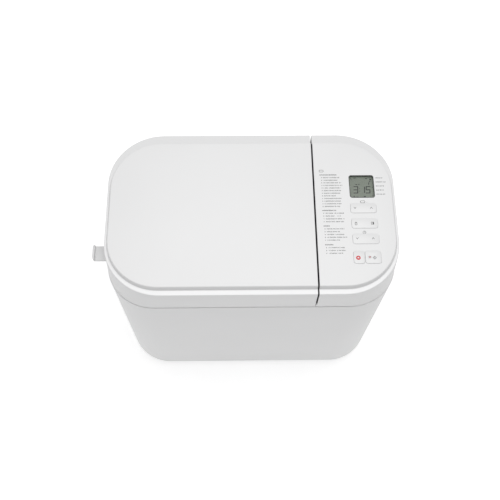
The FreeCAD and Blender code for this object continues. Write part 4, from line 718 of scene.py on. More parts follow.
def makeLowerCase():
    size = lowerCase
    low, high = shell
    wall, bend, edge = size["wall"], size["bottomRound"], size["edge"]
    profile = [(-inwards, high.z + upwards) for inwards, upwards in roundedCorner(edge, 4)]
    profile += [(-wall + inwards, high.z + upwards)
                for inwards, upwards in reversed(roundedCorner(edge / 2, 3))]
    inner, foot = bend - wall, -size["lean"] - bend
    turn = quarter(12)
    profile += [(foot + inner * math.cos(angle), low.z + bend - inner * math.sin(angle)) for angle in turn]
    profile += [(foot - size["lip"], low.z + wall), (foot - size["lip"], low.z)]
    profile += [(foot + bend * math.cos(angle), low.z + bend - bend * math.sin(angle))
                for angle in reversed(turn)]
    piece = sweep("lowerCase", high.x - low.x, high.y - low.y, size["corner"], (middleX, 0, 0), profile,
                  paints["white_plastic"], 26)
    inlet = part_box("cord_gland")
    carve(piece, holeTool(((inlet[0].x + inlet[1].x) / 2, 0, (inlet[0].z + inlet[1].z) / 2), size["inlet"],
                          0.2, paints["white_plastic"], "Y"))
    place(piece, "body_shell")


makeLowerCase()
print("lower case")

# upper housing: band, ledge and raised top, one form for the lid and the control housing

upper = {"seamCorner": 67 * mm, "rimCorner": 78 * mm, "topCorner": 73 * mm, "rimHeight": 354.7 * mm,
         "leanX": 0.45 * mm, "leanY": 0.7 * mm, "ledgeSide": 3.6 * mm, "ledgeFront": 7.8 * mm,
         "ledgeRear": 16 * mm, "draft": 1.5 * mm, "seamRound": 0.6 * mm, "rimRound": 1.3 * mm,
         "cove": 0.9 * mm, "topRound": 1.5 * mm, "gapRound": 0.7 * mm, "wall": 2.6 * mm}
lidBox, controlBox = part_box("lid_cover"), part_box("control_housing")
topZ = controlBox[1].z


def upperLimits(level):
    left, right, front, back = lidBox[0].x, controlBox[1].x, lidBox[0].y, lidBox[1].y
    if level == "seam":
        return left, right, front, back, upper["seamCorner"]
    left, right = left + upper["leanX"], right - upper["leanX"]
    front, back = front + upper["leanY"], back - upper["leanY"]
    if level == "rim":
        return left, right, front, back, upper["rimCorner"]
    return (left + upper["ledgeSide"], right - upper["ledgeSide"], front + upper["ledgeFront"],
            back - upper["ledgeRear"], upper["topCorner"])


def upperLoop(side, level, inset, z, gapInset):
    left, right, front, back, corner = upperLimits(level)
    small = upper["gapRound"]
    if side == "lid":
        radii, steps = (small, small, corner - inset, corner - inset), (4, 4, 20, 20)
        left, right = left + inset, lidBox[1].x - gapInset
    else:
        radii, steps = (corner - inset, corner - inset, small, small), (20, 20, 4, 4)
        left, right = controlBox[0].x + gapInset, right - inset
    return flatLoop(outline(left, right, front + inset, back - inset, radii, steps), z)


def upperHousing(name, side):
    size = upper
    wall, seam, rim = size["wall"], lidBox[0].z, size["rimHeight"]
    inner = [("top", wall + size["draft"] + 1 * mm, topZ - wall, wall + 1 * mm),
             ("top", wall + size["draft"], topZ - wall - 1 * mm, wall), ("top", wall, rim - wall, wall),
             ("rim", wall, rim - wall - 0.2 * mm, wall), ("seam", wall, seam, wall)]
    outer = [("seam", inwards, seam - upwards, 0)
             for inwards, upwards in reversed(roundedCorner(size["seamRound"]))]
    outer += [("rim", inwards, rim + upwards, 0) for inwards, upwards in roundedCorner(size["rimRound"], 5)]
    outer += [("top", inwards, rim + upwards, 0) for inwards, upwards in roundedCorner(size["cove"], 4, True)]
    share = size["gapRound"] / size["topRound"]
    outer += [("top", size["draft"] + inwards, topZ + upwards, share * inwards)
              for inwards, upwards in roundedCorner(size["topRound"], 5)]
    piece = stack(name, [upperLoop(side, *level) for level in inner + outer], paints["white_plastic"])
    repaint(piece, topSatin, lambda middle: middle.z > topZ - size["topRound"])
    # the ledge faces get the painted highlight and painted shade
    repaint(piece, ledgeWhite, lambda middle: abs(middle.z - rim) < size["cove"] / 4)
    return piece


lidFittings = {"hingeZone": -156 * mm, "skirt": 320 * mm, "postRadius": 4 * mm,
               "postBore": 1.6 * mm}


def makeLid():
    piece = upperHousing("lidCover", "lid")
    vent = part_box("steam_vent")
    room = Vector((0.15, 0, 0.15)) * mm
    white = paints["white_plastic"]
    hingeRoom = slab("hingeRoom", Vector((middleX + lidFittings["hingeZone"], 109 * mm, 0.2)),
                     Vector((lidBox[1].x + 1 * mm, 0.2, lidFittings["skirt"])), white, 1 * mm)
    ventRoom = slab("ventRoom", Vector((vent[0].x, 109 * mm, vent[0].z)) - room,
                    Vector((vent[1].x, 0.2, vent[1].z)) + room, white, 0.5 * mm)
    carve(piece, hingeRoom, ventRoom)
    posts = []
    for low, high in solidsOf("lid_screws"):
        centre = (low + high) / 2
        posts.append((centre.x, centre.y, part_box("lid_liner")[0].z + 1.3 * mm))
    radius, length = lidFittings["postRadius"], topZ - upper["wall"] - posts[0][2] + 0.2 * mm
    bore = lidFittings["postBore"]
    post = lathe("post", (0, 0, 0), ((bore, 0), (radius, 0), (radius, length), (bore, length)), white, count=24)
    place(joined("lidCover", [piece, copies("lidPosts", post, posts, white)]), "lid_cover")


makeLid()
print("lid cover")

# the control housing, with openings for the window and the keys

controls = {"keyRoom": 0.22 * mm, "keyCorner": 3.5 * mm, "lipFlare": 0.08 * mm, "narrowFlare": 0.05 * mm,
            "tongueTop": 316 * mm, "trimWidth": 17 * mm,
            "saddleWidth": 3.5 * mm, "saddleDepth": 2.4 * mm, "trunnionReach": 2.6 * mm}
rockers = ("menu_rocker", "option_rocker", "timer_rocker")


def capLimits(node):
    # left, right, front and back of a key's cap, without the trunnions of a rocker
    low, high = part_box(node)
    reach = controls["trunnionReach"] if node in rockers else 0
    return low.x, high.x, low.y + reach, high.y - reach


def openingTool(limits, corner, room, flare):
    wide = room + flare
    levels = ((room, topZ - 8 * mm), (room, topZ - flare), (wide, topZ), (wide, topZ + 1 * mm))
    return stack("opening", [evenLoop(limits, -out, corner + out, 6, z) for out, z in levels],
                 paints["white_plastic"])


def paintGapShade(piece):
    # painted shade: the wall towards the lid is painted black along its top, front and back, for the dark shade
    # in the gap
    wide, wall = controls["trimWidth"], controlBox[0].x + 0.05 * mm
    lines = (((0, 0, topZ - wide), (0, 0, 1)), ((0, controlBox[0].y + wide, 0), (0, 1, 0)),
             ((0, controlBox[1].y - wide, 0), (0, 1, 0)))
    with reworked(piece.data) as mesh:
        for spot, normal in lines:
            faces = [face for face in mesh.faces if face.calc_center_median().x < wall]
            sides = {edge for face in faces for edge in face.edges}
            bmesh.ops.bisect_plane(mesh, geom=faces + list(sides), plane_co=spot, plane_no=normal)
    repaint(piece, paints["black_plastic"], lambda middle: middle.x < wall and middle.z < topZ - 1 * mm and (
        middle.z > topZ - wide or not controlBox[0].y + wide < middle.y < controlBox[1].y - wide))


def makeControlHousing():
    piece = upperHousing("controlHousing", "control")
    white = paints["white_plastic"]
    room, corner = controls["keyRoom"], controls["keyCorner"]
    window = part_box("lcd_window")
    flare, narrow = controls["lipFlare"], controls["narrowFlare"]
    tools = [openingTool(sidesOf(*window), corner, 0.05 * mm, flare)]
    tools += [openingTool(capLimits(node), corner, room, flare) for node in rockers]
    tools += [openingTool(capLimits(node), corner, room, narrow) for node in ("stop_key", "start_key")]
    carve(piece, *tools)
    # painted shade in the gap towards the lid
    paintGapShade(piece)
    parts = [piece]
    for node in rockers:
        left, right, front, back = capLimits(node)
        centre, width, depth = (left + right) / 2, controls["saddleWidth"], controls["saddleDepth"]
        for y in (front - room - 0.6 * mm - depth, back + room + 0.6 * mm):
            parts.append(slab("saddle", Vector((centre - width, y, topZ - 7.6 * mm)),
                              Vector((centre + width, y + depth, topZ - 2.2 * mm)), white, 0.4 * mm))
    # a tongue closes the last few millimetres of the gap, over the seam
    gap, front = lidBox[1].x, lidBox[0].y
    parts.append(slab("tongue", Vector((gap + 0.3 * mm, front + 0.25 * mm, lidBox[0].z + 0.2 * mm)),
                      Vector((controlBox[0].x + 0.6 * mm, front + 3 * mm, controls["tongueTop"])), white,
                      0.3 * mm, 0.1 * mm))
    place(joined("controlHousing", parts), "control_housing")


makeControlHousing()
for node in (*rockers, "stop_key", "start_key"):
    place(refined(node, 0.22 * mm), node)
print("control housing and keys")

# display: a black frame, a grey-green field under a clear window, and seven-bar figures

display = {"frameWall": 3 * mm, "fieldDrop": 0.9 * mm, "rim": 0.8 * mm, "barThick": 0.05 * mm,
           "digitHeight": 10.2 * mm, "digitWidth": 5.2 * mm, "barWidth": 1.35 * mm, "barGap": 0.05 * mm,
           "lean": 0.06, "digitsLeft": 6.8 * mm, "digitsFoot": 9.4 * mm,
           "digitSteps": (0, 9.7 * mm, 17.3 * mm), "colon": 8.2 * mm}
litBars = {"1": "bc", "3": "abcdg", "5": "acdfg"}
# small signs over and under the figures: middle from the window's corner, width and height, in mm
displaySigns = (
    (11, 23, 2.4, 1.4), (14.6, 23, 1.6, 1.4), (28.6, 24.4, 1.1, 3.6), (30.2, 27.4, 1.6, 1.0),
    (3.2, 32.4, 1.4, 1.0), (4.2, 30.6, 1.0, 1.6), (9.2, 32.8, 3.2, 0.7), (25.6, 32.6, 3.6, 1.1),
    (31.4, 31.2, 2.4, 2.2), (30.6, 28.6, 1.4, 1.6), (6.6, 3.4, 1.4, 3.0), (11, 3.2, 3.2, 0.7),
    (21.6, 3.4, 2.6, 2.6), (33.2, 5.4, 0.9, 2.4), (33.2, 18.4, 0.9, 1.6))


def flatShape(name, loops, low, thick, material):
    # thin plates with the given outlines, all at one height
    mesh = bmesh.new()
    for loop in loops:
        lower = [mesh.verts.new((x, y, low)) for x, y in loop]
        upperRing = [mesh.verts.new((x, y, low + thick)) for x, y in loop]
        mesh.faces.new(reversed(lower))
        mesh.faces.new(upperRing)
        for index in range(len(loop)):
            after = (index + 1) % len(loop)
            mesh.faces.new((lower[index], lower[after], upperRing[after], upperRing[index]))
    bmesh.ops.recalc_face_normals(mesh, faces=mesh.faces)
    return makeObject(name, finishedData(mesh, name), material)


def figure(digit, left, foot):
    # level bars run the full width, upright bars stop short of the level bars that are lit
    lit = litBars[digit]
    wide, width, gap = display["digitWidth"], display["barWidth"], display["barGap"]
    rows = {"d": 0, "g": display["digitHeight"] / 2, "a": display["digitHeight"]}
    bars = [rectangle(wide / 2, y, wide + width, width) for name, y in rows.items() if name in lit]
    upright = (("e", 0, "d", "g"), ("c", wide, "d", "g"), ("f", 0, "g", "a"), ("b", wide, "g", "a"))
    for name, x, low, high in upright:
        if name in lit:
            start = rows[low] + (width / 2 + gap if low in lit else gap)
            end = rows[high] - (width / 2 + gap if high in lit else gap)
            bars.append(rectangle(x, (start + end) / 2, width, end - start))
    return [[(left + x + display["lean"] * y, foot + y) for x, y in loop] for loop in bars]


def rectangle(x, y, wide, tall):
    return [(x - wide / 2, y - tall / 2), (x + wide / 2, y - tall / 2),
            (x + wide / 2, y + tall / 2), (x - wide / 2, y + tall / 2)]


def makeDisplay():
    window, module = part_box("lcd_window"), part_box("lcd_module")
    size = display
    left, right, front, back = sidesOf(*window)
    corner, top = controls["keyCorner"], module[1].z
    black = paints["display_cell"]

    def ring(out, z):
        return evenLoop(sidesOf(*window), -out, corner + out, 6, z)

    outside = size["frameWall"] - 0.4 * mm
    frameLoops = [ring(outside, module[0].z), ring(outside, top), ring(-0.3 * mm, top),
                  ring(-0.3 * mm, module[0].z)]
    frameRing = stack("displayFrame", frameLoops, black, closed=True)
    fieldTop = top - size["fieldDrop"]
    field = slab("displayField", Vector((left, front, module[0].z + 2 * mm)), Vector((right, back, fieldTop)),
                 fieldPaint, corner)
    x, y = left + size["digitsLeft"], front + size["digitsFoot"]
    shapes = []
    for digit, step in zip("315", size["digitSteps"]):
        shapes += figure(digit, x + step, y)
    shapes += [rectangle(x + size["colon"], y + at * mm, 0.9 * mm, 1.1 * mm) for at in (3, 7.4)]
    shapes += [rectangle(left + at * mm, front + up * mm, wide * mm, tall * mm)
               for at, up, wide, tall in displaySigns]
    bars = flatShape("displayBars", shapes, fieldTop + 0.01 * mm, size["barThick"], segmentInk)
    place(joined("displayCell", [frameRing, field, bars]), "lcd_module")
    # painted shade: a black rim lines the window's edge and covers its outer 0.8 mm, standing in for the shade
    # of the recess under the pane
    rim, low, high = size["rim"], window[0].z, window[1].z
    rimLoops = [ring(0, low), ring(0, high - 0.25 * mm), ring(-0.15 * mm, high - 0.05 * mm),
                ring(-rim, high - 0.05 * mm), ring(-rim, low)]
    shadeRimRing = stack("windowRim", rimLoops, black, closed=True)
    clear = slab("clearPane", Vector((left + rim, front + rim, high - 1.2 * mm)),
                 Vector((right - rim, back - rim, high - 0.12 * mm)), paints["display_window"], corner - rim)
    place(joined("displayWindow", [clear, shadeRimRing]), "lcd_window")


makeDisplay()
print("display")

# printed panel: rows of plain strokes stand for printed lines, with simple signs for the keys

printed = {"lift": 0.01 * mm, "thick": 0.03 * mm, "signWidth": 0.55 * mm, "rowHeight": 1.5 * mm}
# each block: left edge and top row from the case's middle, rows, row to row, longest and shortest row, in mm
printedRows = {"firstRows": (102, 49, 12, 4.15, 27, 16), "secondRows": (102.5, -7.2, 4, 4.35, 27, 22),
               "thirdRows": (103, -31.2, 5, 4.25, 28, 16), "fourthRows": (104, -59.4, 3, 4.2, 24, 14),
               "sideRows": (175.9, 48.2, 5, 6.5, 16, 9)}
printedNumbers = {"firstNumbers": (99.2, 49, 12, 4.15), "secondNumbers": (99.4, -7.2, 4, 4.35),
                  "thirdNumbers": (99.8, -31.2, 5, 4.25), "fourthNumbers": (100.6, -59.4, 3, 4.2)}
printedHeads = {"firstHead": (96.9, 53.4, 25), "secondHead": (98.2, -2.9, 20),
                "thirdHead": (98.8, -26.8, 9), "fourthHead": (99.4, -55.1, 12)}


def strokesTree():
    # rows of small upright strokes, thinned at random into groups like words
    tree, given = newTree("printedStrokes", (
        ("Corner", "Vector"), ("Rows", "Int"), ("Row Pitch", "Float"), ("Strokes", "Int"),
        ("Stroke Pitch", "Float"), ("Shortest", "Float"), ("Stroke Size", "Vector"), ("Gaps", "Float"),
        ("Seed", "Int"), ("Material", "Material")))

    def maths(kind, first, second):
        node = addNode(tree, "ShaderNodeMath", (("operation", kind),))
        for socket, value in zip(node.inputs, (first, second)):
            if isinstance(value, bpy.types.NodeSocket):
                tree.links.new(value, socket)
            else:
                socket.default_value = value
        return node.outputs[0]

    total = maths("MULTIPLY", given["Rows"], given["Strokes"])
    points = addNode(tree, "GeometryNodePoints", Count=total)
    index = tree.nodes.new("GeometryNodeInputIndex").outputs[0]
    row = maths("FLOOR", maths("DIVIDE", maths("ADD", index, 0.5), given["Strokes"]), 0.0)
    column = maths("SUBTRACT", index, maths("MULTIPLY", row, given["Strokes"]))
    spot = addNode(tree, "ShaderNodeCombineXYZ", X=maths("MULTIPLY", column, given["Stroke Pitch"]),
                   Y=maths("MULTIPLY", row, maths("MULTIPLY", given["Row Pitch"], -1.0)))
    moved = addNode(tree, "ShaderNodeVectorMath", (("operation", "ADD"),))
    tree.links.new(spot.outputs[0], moved.inputs[0])
    tree.links.new(given["Corner"], moved.inputs[1])
    laid = addNode(tree, "GeometryNodeSetPosition", Geometry=points.outputs[0], Position=moved.outputs[0])
    length = addNode(tree, "FunctionNodeRandomValue", Min=given["Shortest"], Max=1.0, ID=row,
                     Seed=given["Seed"])
    limit = maths("MULTIPLY", length.outputs["Value"], given["Strokes"])
    space = addNode(tree, "FunctionNodeRandomValue", Min=0.0, Max=1.0, Seed=maths("ADD", given["Seed"], 7))
    tooFar = maths("GREATER_THAN", column, limit)
    inGap = maths("LESS_THAN", space.outputs["Value"], given["Gaps"])
    kept = addNode(tree, "GeometryNodeDeleteGeometry", Geometry=laid.outputs[0],
                   Selection=maths("MAXIMUM", tooFar, inGap))
    shape = addNode(tree, "GeometryNodeMeshCube", Size=given["Stroke Size"])
    tall = addNode(tree, "FunctionNodeRandomValue", Min=0.7, Max=1.25, Seed=maths("ADD", given["Seed"], 3))
    scale = addNode(tree, "ShaderNodeCombineXYZ", X=1.0, Y=tall.outputs["Value"], Z=1.0)
    copied = addNode(tree, "GeometryNodeInstanceOnPoints", Points=kept.outputs[0], Instance=shape.outputs[0],
                     Scale=scale.outputs[0])
    endTree(tree, copied.outputs[0], given["Material"])
    return tree


printedStrokes = strokesTree()


def rowsOfStrokes(name, left, top, rows, pitch, longest, shortest, material, seed, height, gaps=0.14):
    strokePitch = 0.72 * mm
    return runTree(name, printedStrokes, {
        "Corner": (middleX + left * mm, top * mm, topZ + printed["lift"]), "Rows": rows,
        "Row Pitch": pitch * mm, "Strokes": max(1, int(longest * mm / strokePitch)),
        "Stroke Pitch": strokePitch, "Shortest": shortest / longest,
        "Stroke Size": (0.4 * mm, height, printed["thick"]), "Gaps": gaps, "Seed": seed,
        "Material": material}, material)


def ribbon(points, width, closed=False):
    # a line of even width through points, as one outline for each straight stretch
    ends = points[1:] + points[:1] if closed else points[1:]
    stretches = []
    for (ax, ay), (bx, by) in zip(points, ends):
        along = Vector((bx - ax, by - ay)).normalized() * width / 2
        across = Vector((-along.y, along.x))
        first, last = Vector((ax, ay)) - along * 0.4, Vector((bx, by)) + along * 0.4
        stretches.append([tuple(first - across), tuple(last - across), tuple(last + across),
                          tuple(first + across)])
    return stretches


def circle(x, y, radius, count=28):
    angles = [2 * math.pi * step / count for step in range(count)]
    return [(x + radius * math.cos(angle), y + radius * math.sin(angle)) for angle in angles]


def annulus(x, y, radius, width, count=28):
    outer, inner = circle(x, y, radius, count), circle(x, y, radius - width, count)
    return [[outer[step], outer[(step + 1) % count], inner[(step + 1) % count], inner[step]]
            for step in range(count)]


def signs():
    # outlines of the signs by the piece they are printed on, and the light mark on the stop sign
    wide = printed["signWidth"]

    def at(x, y):
        return middleX + x * mm, y * mm

    def chevron(x, y, way):
        cx, cy = at(x, y)
        return ribbon([(cx - 1.5 * mm, cy + way * 1.2 * mm), (cx, cy - way * 1.2 * mm),
                       (cx + 1.5 * mm, cy + way * 1.2 * mm)], wide)

    def boxed(x, y, half, tall, corner):
        cx, cy = at(x, y)
        points = outline(cx - half * mm, cx + half * mm, cy - tall * mm, cy + tall * mm, (corner * mm,) * 4,
                         (3,) * 4)
        return ribbon(points, wide, True)

    menu = chevron(143.8, 0.6, 1) + chevron(166.4, 0.4, -1)
    cx, cy = at(143.5, -23.4)
    option = boxed(143.5, -24.1, 1.3, 1.5, 0.3)
    option += ribbon([(cx - 1.2 * mm, cy + 0.9 * mm), (cx, cy + 2.3 * mm), (cx + 1.2 * mm, cy + 0.9 * mm)],
                     wide)
    option += boxed(166.3, -23.2, 1.7, 1.7, 0.3)
    cx, cy = at(166.3, -23.2)
    option.append(rectangle(cx + 0.9 * mm, cy, 1.5 * mm, 3.2 * mm))
    timer = chevron(143.7, -46, 1) + chevron(165.5, -46.2, -1)
    panel = boxed(99.6, 59.7, 2.9, 1.5, 0.7) + boxed(155.2, 10.3, 3.1, 1.6, 1.2)
    panel += [circle(*at(160.2, 9.8), 0.3 * mm, 10), circle(*at(161.6, 9.8), 0.3 * mm, 10)]
    cx, cy = at(154.2, -36.7)
    panel += annulus(cx, cy, 2.3 * mm, 0.45 * mm)
    panel += ribbon([(cx, cy + 1.3 * mm), (cx, cy), (cx + 1 * mm, cy)], wide)
    cx, cy = at(143.1, -74.9)
    stop = [circle(cx, cy, 3.1 * mm)]
    stopMark = [[(cx - 1.8 * mm, cy - 0.7 * mm), (cx + 1.8 * mm, cy - 0.7 * mm), (cx, cy + 1.7 * mm)]]
    cx, cy = at(165.3, -74.9)
    turned = [(cx, cy - 2.2 * mm), (cx + 2.2 * mm, cy), (cx, cy + 2.2 * mm), (cx - 2.2 * mm, cy)]
    start = ribbon(turned, wide, True) + ribbon([(cx, cy - 1.1 * mm), (cx, cy + 1.1 * mm)], wide)
    return {"menu_rocker": menu, "option_rocker": option, "timer_rocker": timer, "panel": panel,
            "stop_key": stop, "start_key": start}, stopMark


def makePrint():
    height, lift, thick = printed["rowHeight"], printed["lift"], printed["thick"]
    parts = []
    for seed, (name, block) in enumerate(printedRows.items(), 11):
        parts.append(rowsOfStrokes(name, *block, greyInk, seed, height))
    for seed, (name, (left, top, rows, pitch)) in enumerate(printedNumbers.items(), 31):
        parts.append(rowsOfStrokes(name, left, top, rows, pitch, 1.6, 1.6, greyInk, seed, height, 0))
    for seed, (name, (left, top, length)) in enumerate(printedHeads.items(), 51):
        parts.append(rowsOfStrokes(name, left, top, 1, 1, length, length, darkInk, seed, height * 1.15, 0.06))
    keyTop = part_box("menu_rocker")[1].z
    loopsOf, stopMark = signs()
    for owner, loops in loopsOf.items():
        if owner == "panel":
            parts.append(flatShape("panelSigns", loops, topZ + lift, thick, greyInk))
            continue
        material = redInk if owner == "stop_key" else greyInk
        sign = flatShape(owner.split("_")[0] + "Sign", loops, keyTop + lift, thick, material)
        if owner == "stop_key":
            mark = flatShape("stopMark", stopMark, keyTop + lift + thick, thick, paints["key_white"])
            sign = joined("stopSign", [sign, mark])
        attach(sign, bodyOf[owner])
    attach(joined("panelPrint", parts), "case")


makePrint()
print("printed panel")

# the lamp: a clear-white pipe with a small red lens

lampLens = 0.8 * mm


def makeLamp():
    low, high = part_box("start_lamp")
    middle = (low + high) / 2
    lens = flatShape("lampLens", [circle(middle.x, middle.y, lampLens, 20)], high.z, 0.05 * mm,
                     paints["lamp_red"])
    place(joined("startLamp", [refined("start_lamp", 0.1 * mm, paints["key_white"]), lens]), "start_lamp")


makeLamp()
print("lamp")

# outside fittings

foot = {"radius": 12 * mm, "edge": 1.5 * mm, "groove": 0.5 * mm, "recess": 7 * mm}


def makeFeet():
    size = foot
    radius, edge, groove = size["radius"], size["edge"], size["groove"]
    boxes = solidsOf("foot_pads")
    height = boxes[0][1].z
    profile = [(nearAxis, 0.8 * mm), (size["recess"], 0.8 * mm), (size["recess"] + 0.6 * mm, 0),
               (radius - edge, 0)]
    profile += [(radius - edge + edge * math.sin(angle), edge - edge * math.cos(angle))
                for angle in quarter(3)[1:]]
    for ring in (2.6 * mm, 4.2 * mm):
        profile += [(radius, ring - groove), (radius - groove, ring), (radius, ring + groove)]
    profile += [(radius, height), (nearAxis, height)]
    places = [((low.x + high.x) / 2, (low.y + high.y) / 2, 0) for low, high in boxes]
    shape = lathe("foot", (0, 0, 0), profile, paints["rubber_grey"], count=40)
    place(copies("footPads", shape, places, paints["rubber_grey"]), "foot_pads")


def screwShape(length, down):
    # a pan head with a cross recess over a shank; it stands with the head's seat at z = 0
    way = -1 if down else 1
    head, cap, shank = 3 * mm, 2 * mm, 1.5 * mm
    dome = [(head * math.sin(angle), -way * (0.5 * mm + (cap - 0.5 * mm) * math.cos(angle)))
            for angle in quarter(5)]
    profile = [(nearAxis, dome[0][1])] + dome[1:] + [(head, 0), (shank, 0)]
    turns = max(3, int(length / (0.9 * mm)))
    for step in range(turns):
        along = way * length * (step + 0.4) / turns
        profile += [(shank - 0.12 * mm, along), (shank, along + way * 0.3 * mm)]
    profile += [(shank - 0.4 * mm, way * length), (nearAxis, way * length)]
    shape = lathe("screw", (0, 0, 0), profile, paints["zinc_steel"], count=20)
    top = -way * (cap + 0.2 * mm)
    recess = sorted((top, top + way * 1.3 * mm))
    crosses = [slab("cross", Vector((-x, -y, recess[0])), Vector((x, y, recess[1])), paints["zinc_steel"])
               for x, y in ((1.6 * mm, 0.35 * mm), (0.35 * mm, 1.6 * mm))]
    return carve(shape, *crosses)


def makeScrews(node, name, down):
    boxes = solidsOf(node)
    low, high = boxes[0]
    length = high.z - low.z - 2 * mm
    seat = high.z - 2 * mm if down else low.z + 2 * mm
    places = [((a.x + b.x) / 2, (a.y + b.y) / 2, seat) for a, b in boxes]
    place(copies(name, screwShape(length, down), places, paints["zinc_steel"]), node)


def makeGland():
    # a stepped rubber inlet, hollow for the cord, with a ribbed tail inside
    low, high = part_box("cord_gland")
    bore, wallRadius, flange = 3.6 * mm, 7.5 * mm, 10 * mm
    back, wallBack = high.y, shell[1].y
    wallFront = wallBack - lowerCase["wall"]
    inside = wallFront - 2.6 * mm
    profile = [(bore, low.y), (flange * 0.62, low.y)]
    for step in range(4):
        y = low.y + 1 * mm + step * (inside - low.y - 2 * mm) / 4
        profile += [(flange * 0.62, y), (flange * 0.7, y + 0.8 * mm), (flange * 0.7, y + 1.4 * mm),
                    (flange * 0.62, y + 1.7 * mm)]
    profile += [(flange, inside), (flange, wallFront), (wallRadius, wallFront),
                (wallRadius, wallBack + 0.1 * mm), (wallRadius - 0.4 * mm, back - 0.8 * mm),
                (wallRadius - 1.1 * mm, back), (bore + 0.6 * mm, back), (bore, back - 0.6 * mm)]
    middle = ((low.x + high.x) / 2, 0, (low.z + high.z) / 2)
    place(lathe("cordGland", middle, profile, paints["black_rubber"], "Y"), "cord_gland")


makeFeet()
makeScrews("case_screws", "caseScrews", False)
makeScrews("lid_screws", "lidScrews", False)
makeScrews("motor_screws", "motorScrews", True)
makeGland()
# the cord hook wears the darker white with painted shade
place(refined("cord_hook", 0.7 * mm, hookPlastic), "cord_hook")
place(refined("hinge_cover", 0.35 * mm), "hinge_cover")
place(refined("steam_vent", 0.25 * mm), "steam_vent")
place(refined("base_plate", 0.4 * mm), "base_plate")
print("outside fittings")

# the inside of the lid: frame, seal and an embossed metal tray

lidInside = {"corner": 44 * mm, "wall": 3 * mm, "edge": 0.7 * mm, "rib": 0.35 * mm, "trayRound": 2.2 * mm,
             "fieldInset": 14 * mm, "fieldRise": 1.1 * mm, "screwHole": 1.7 * mm}


def makeLidInside():
    size = lidInside
    low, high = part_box("lid_frame")
    middle = ((low.x + high.x) / 2, 0, 0)
    wide, deep = high.x - low.x, high.y - low.y
    wall, edge, rib = size["wall"], size["edge"], size["rib"]
    profile = [(-edge * (1 - math.cos(angle)), low.z + edge * (1 - math.sin(angle)))
               for angle in quarter(2)]
    profile += [(-wall + edge * (1 - math.sin(angle)), low.z + edge * (1 - math.cos(angle)))
                for angle in quarter(2)]
    profile += [(-wall, high.z), (0, high.z)]
    for z in (low.z + 9 * mm, low.z + 6 * mm):
        profile += [(0, z + 0.8 * mm), (-rib, z + 0.5 * mm), (-rib, z - 0.5 * mm), (0, z - 0.8 * mm)]
    place(sweep("lidFrame", wide, deep, size["corner"], middle, profile, paints["inner_plastic"]),
          "lid_frame")
    foot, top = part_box("lid_seal")
    seal = [(0, top.z), (0, foot.z + 0.7 * mm), (-0.35 * mm, foot.z + 0.15 * mm), (-0.8 * mm, foot.z),
            (-1.2 * mm, foot.z + 0.35 * mm), (-1.5 * mm, foot.z + 0.7 * mm), (-1.8 * mm, foot.z + 0.35 * mm),
            (-2.2 * mm, foot.z), (-2.65 * mm, foot.z + 0.15 * mm), (-wall, foot.z + 0.7 * mm), (-wall, top.z)]
    place(sweep("lidSeal", wide, deep, size["corner"], middle, seal, paints["silicone"]), "lid_seal")


def makeTray():
    size = lidInside
    low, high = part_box("lid_liner")
    corner, sheet, turn = size["corner"] - size["wall"] - 0.3 * mm, 1.2 * mm, size["trayRound"]

    def ring(inset, z):
        return evenLoop(sidesOf(low, high), inset, max(corner - inset, 8 * mm), 12, z)

    inset, rise = size["fieldInset"], size["fieldRise"]
    bent = [(turn * (1 - math.cos(angle)), low.z + turn * (1 - math.sin(angle)))
            for angle in quarter(4)]
    under = bent + [(inset, low.z), (inset + 0.7 * mm, low.z + rise * 0.3), (inset + 1.7 * mm, low.z + rise),
                    (inset + 46 * mm, low.z + rise), (inset + 47 * mm, low.z + rise * 0.7),
                    (inset + 48.5 * mm, low.z + 0.2 * mm), (inset + 60 * mm, low.z + 0.2 * mm)]
    over = [(depth, z + sheet) for depth, z in reversed(under) if depth > turn]
    over += [(sheet, low.z + turn + 0.3 * mm), (sheet, high.z)]
    rings = [ring(*pair) for pair in [(0, high.z)] + under]
    tops = [ring(*pair) for pair in over]
    piece = stack("lidTray", list(reversed(rings)), paints["bright_aluminium"])
    upperSide = stack("lidTrayTop", tops, paints["bright_aluminium"])
    for part in (piece, upperSide):
        with reworked(part.data) as mesh:
            caps = [face for face in mesh.faces if abs(face.normal.z) > 0.99 and len(face.verts) > 8
                    and abs(face.calc_center_median().z - high.z) < 0.01 * mm]
            bmesh.ops.delete(mesh, geom=caps, context="FACES_ONLY")
    whole = joined("lidTray", [piece, upperSide])
    with reworked(whole.data) as mesh:
        bmesh.ops.bridge_loops(mesh, edges=[edge for edge in mesh.edges if edge.is_boundary])
        bmesh.ops.recalc_face_normals(mesh, faces=mesh.faces)
    holes = [holeTool(((a.x + b.x) / 2, (a.y + b.y) / 2, low.z - 1 * mm), size["screwHole"], 6 * mm,
                      paints["bright_aluminium"], count=20) for a, b in solidsOf("lid_screws")]
    place(carve(whole, *holes), "lid_liner")


makeLidInside()
makeTray()
place(refined("lid_hinge_arms", 0.3 * mm), "lid_hinge_arms")
print("inside of the lid")

# baking chamber: pressed sheet with two beads and a rolled flange

chamber = {"corner": 40 * mm, "sheet": 1 * mm, "flange": 8 * mm, "beads": (150 * mm, 225 * mm),
           "beadReach": 1.2 * mm, "beadHeight": 5 * mm, "floorRound": 4 * mm, "floorHole": 16 * mm,
           "probeHole": 3.3 * mm, "heaterHole": 4 * mm, "heaterLegs": 14 * mm}


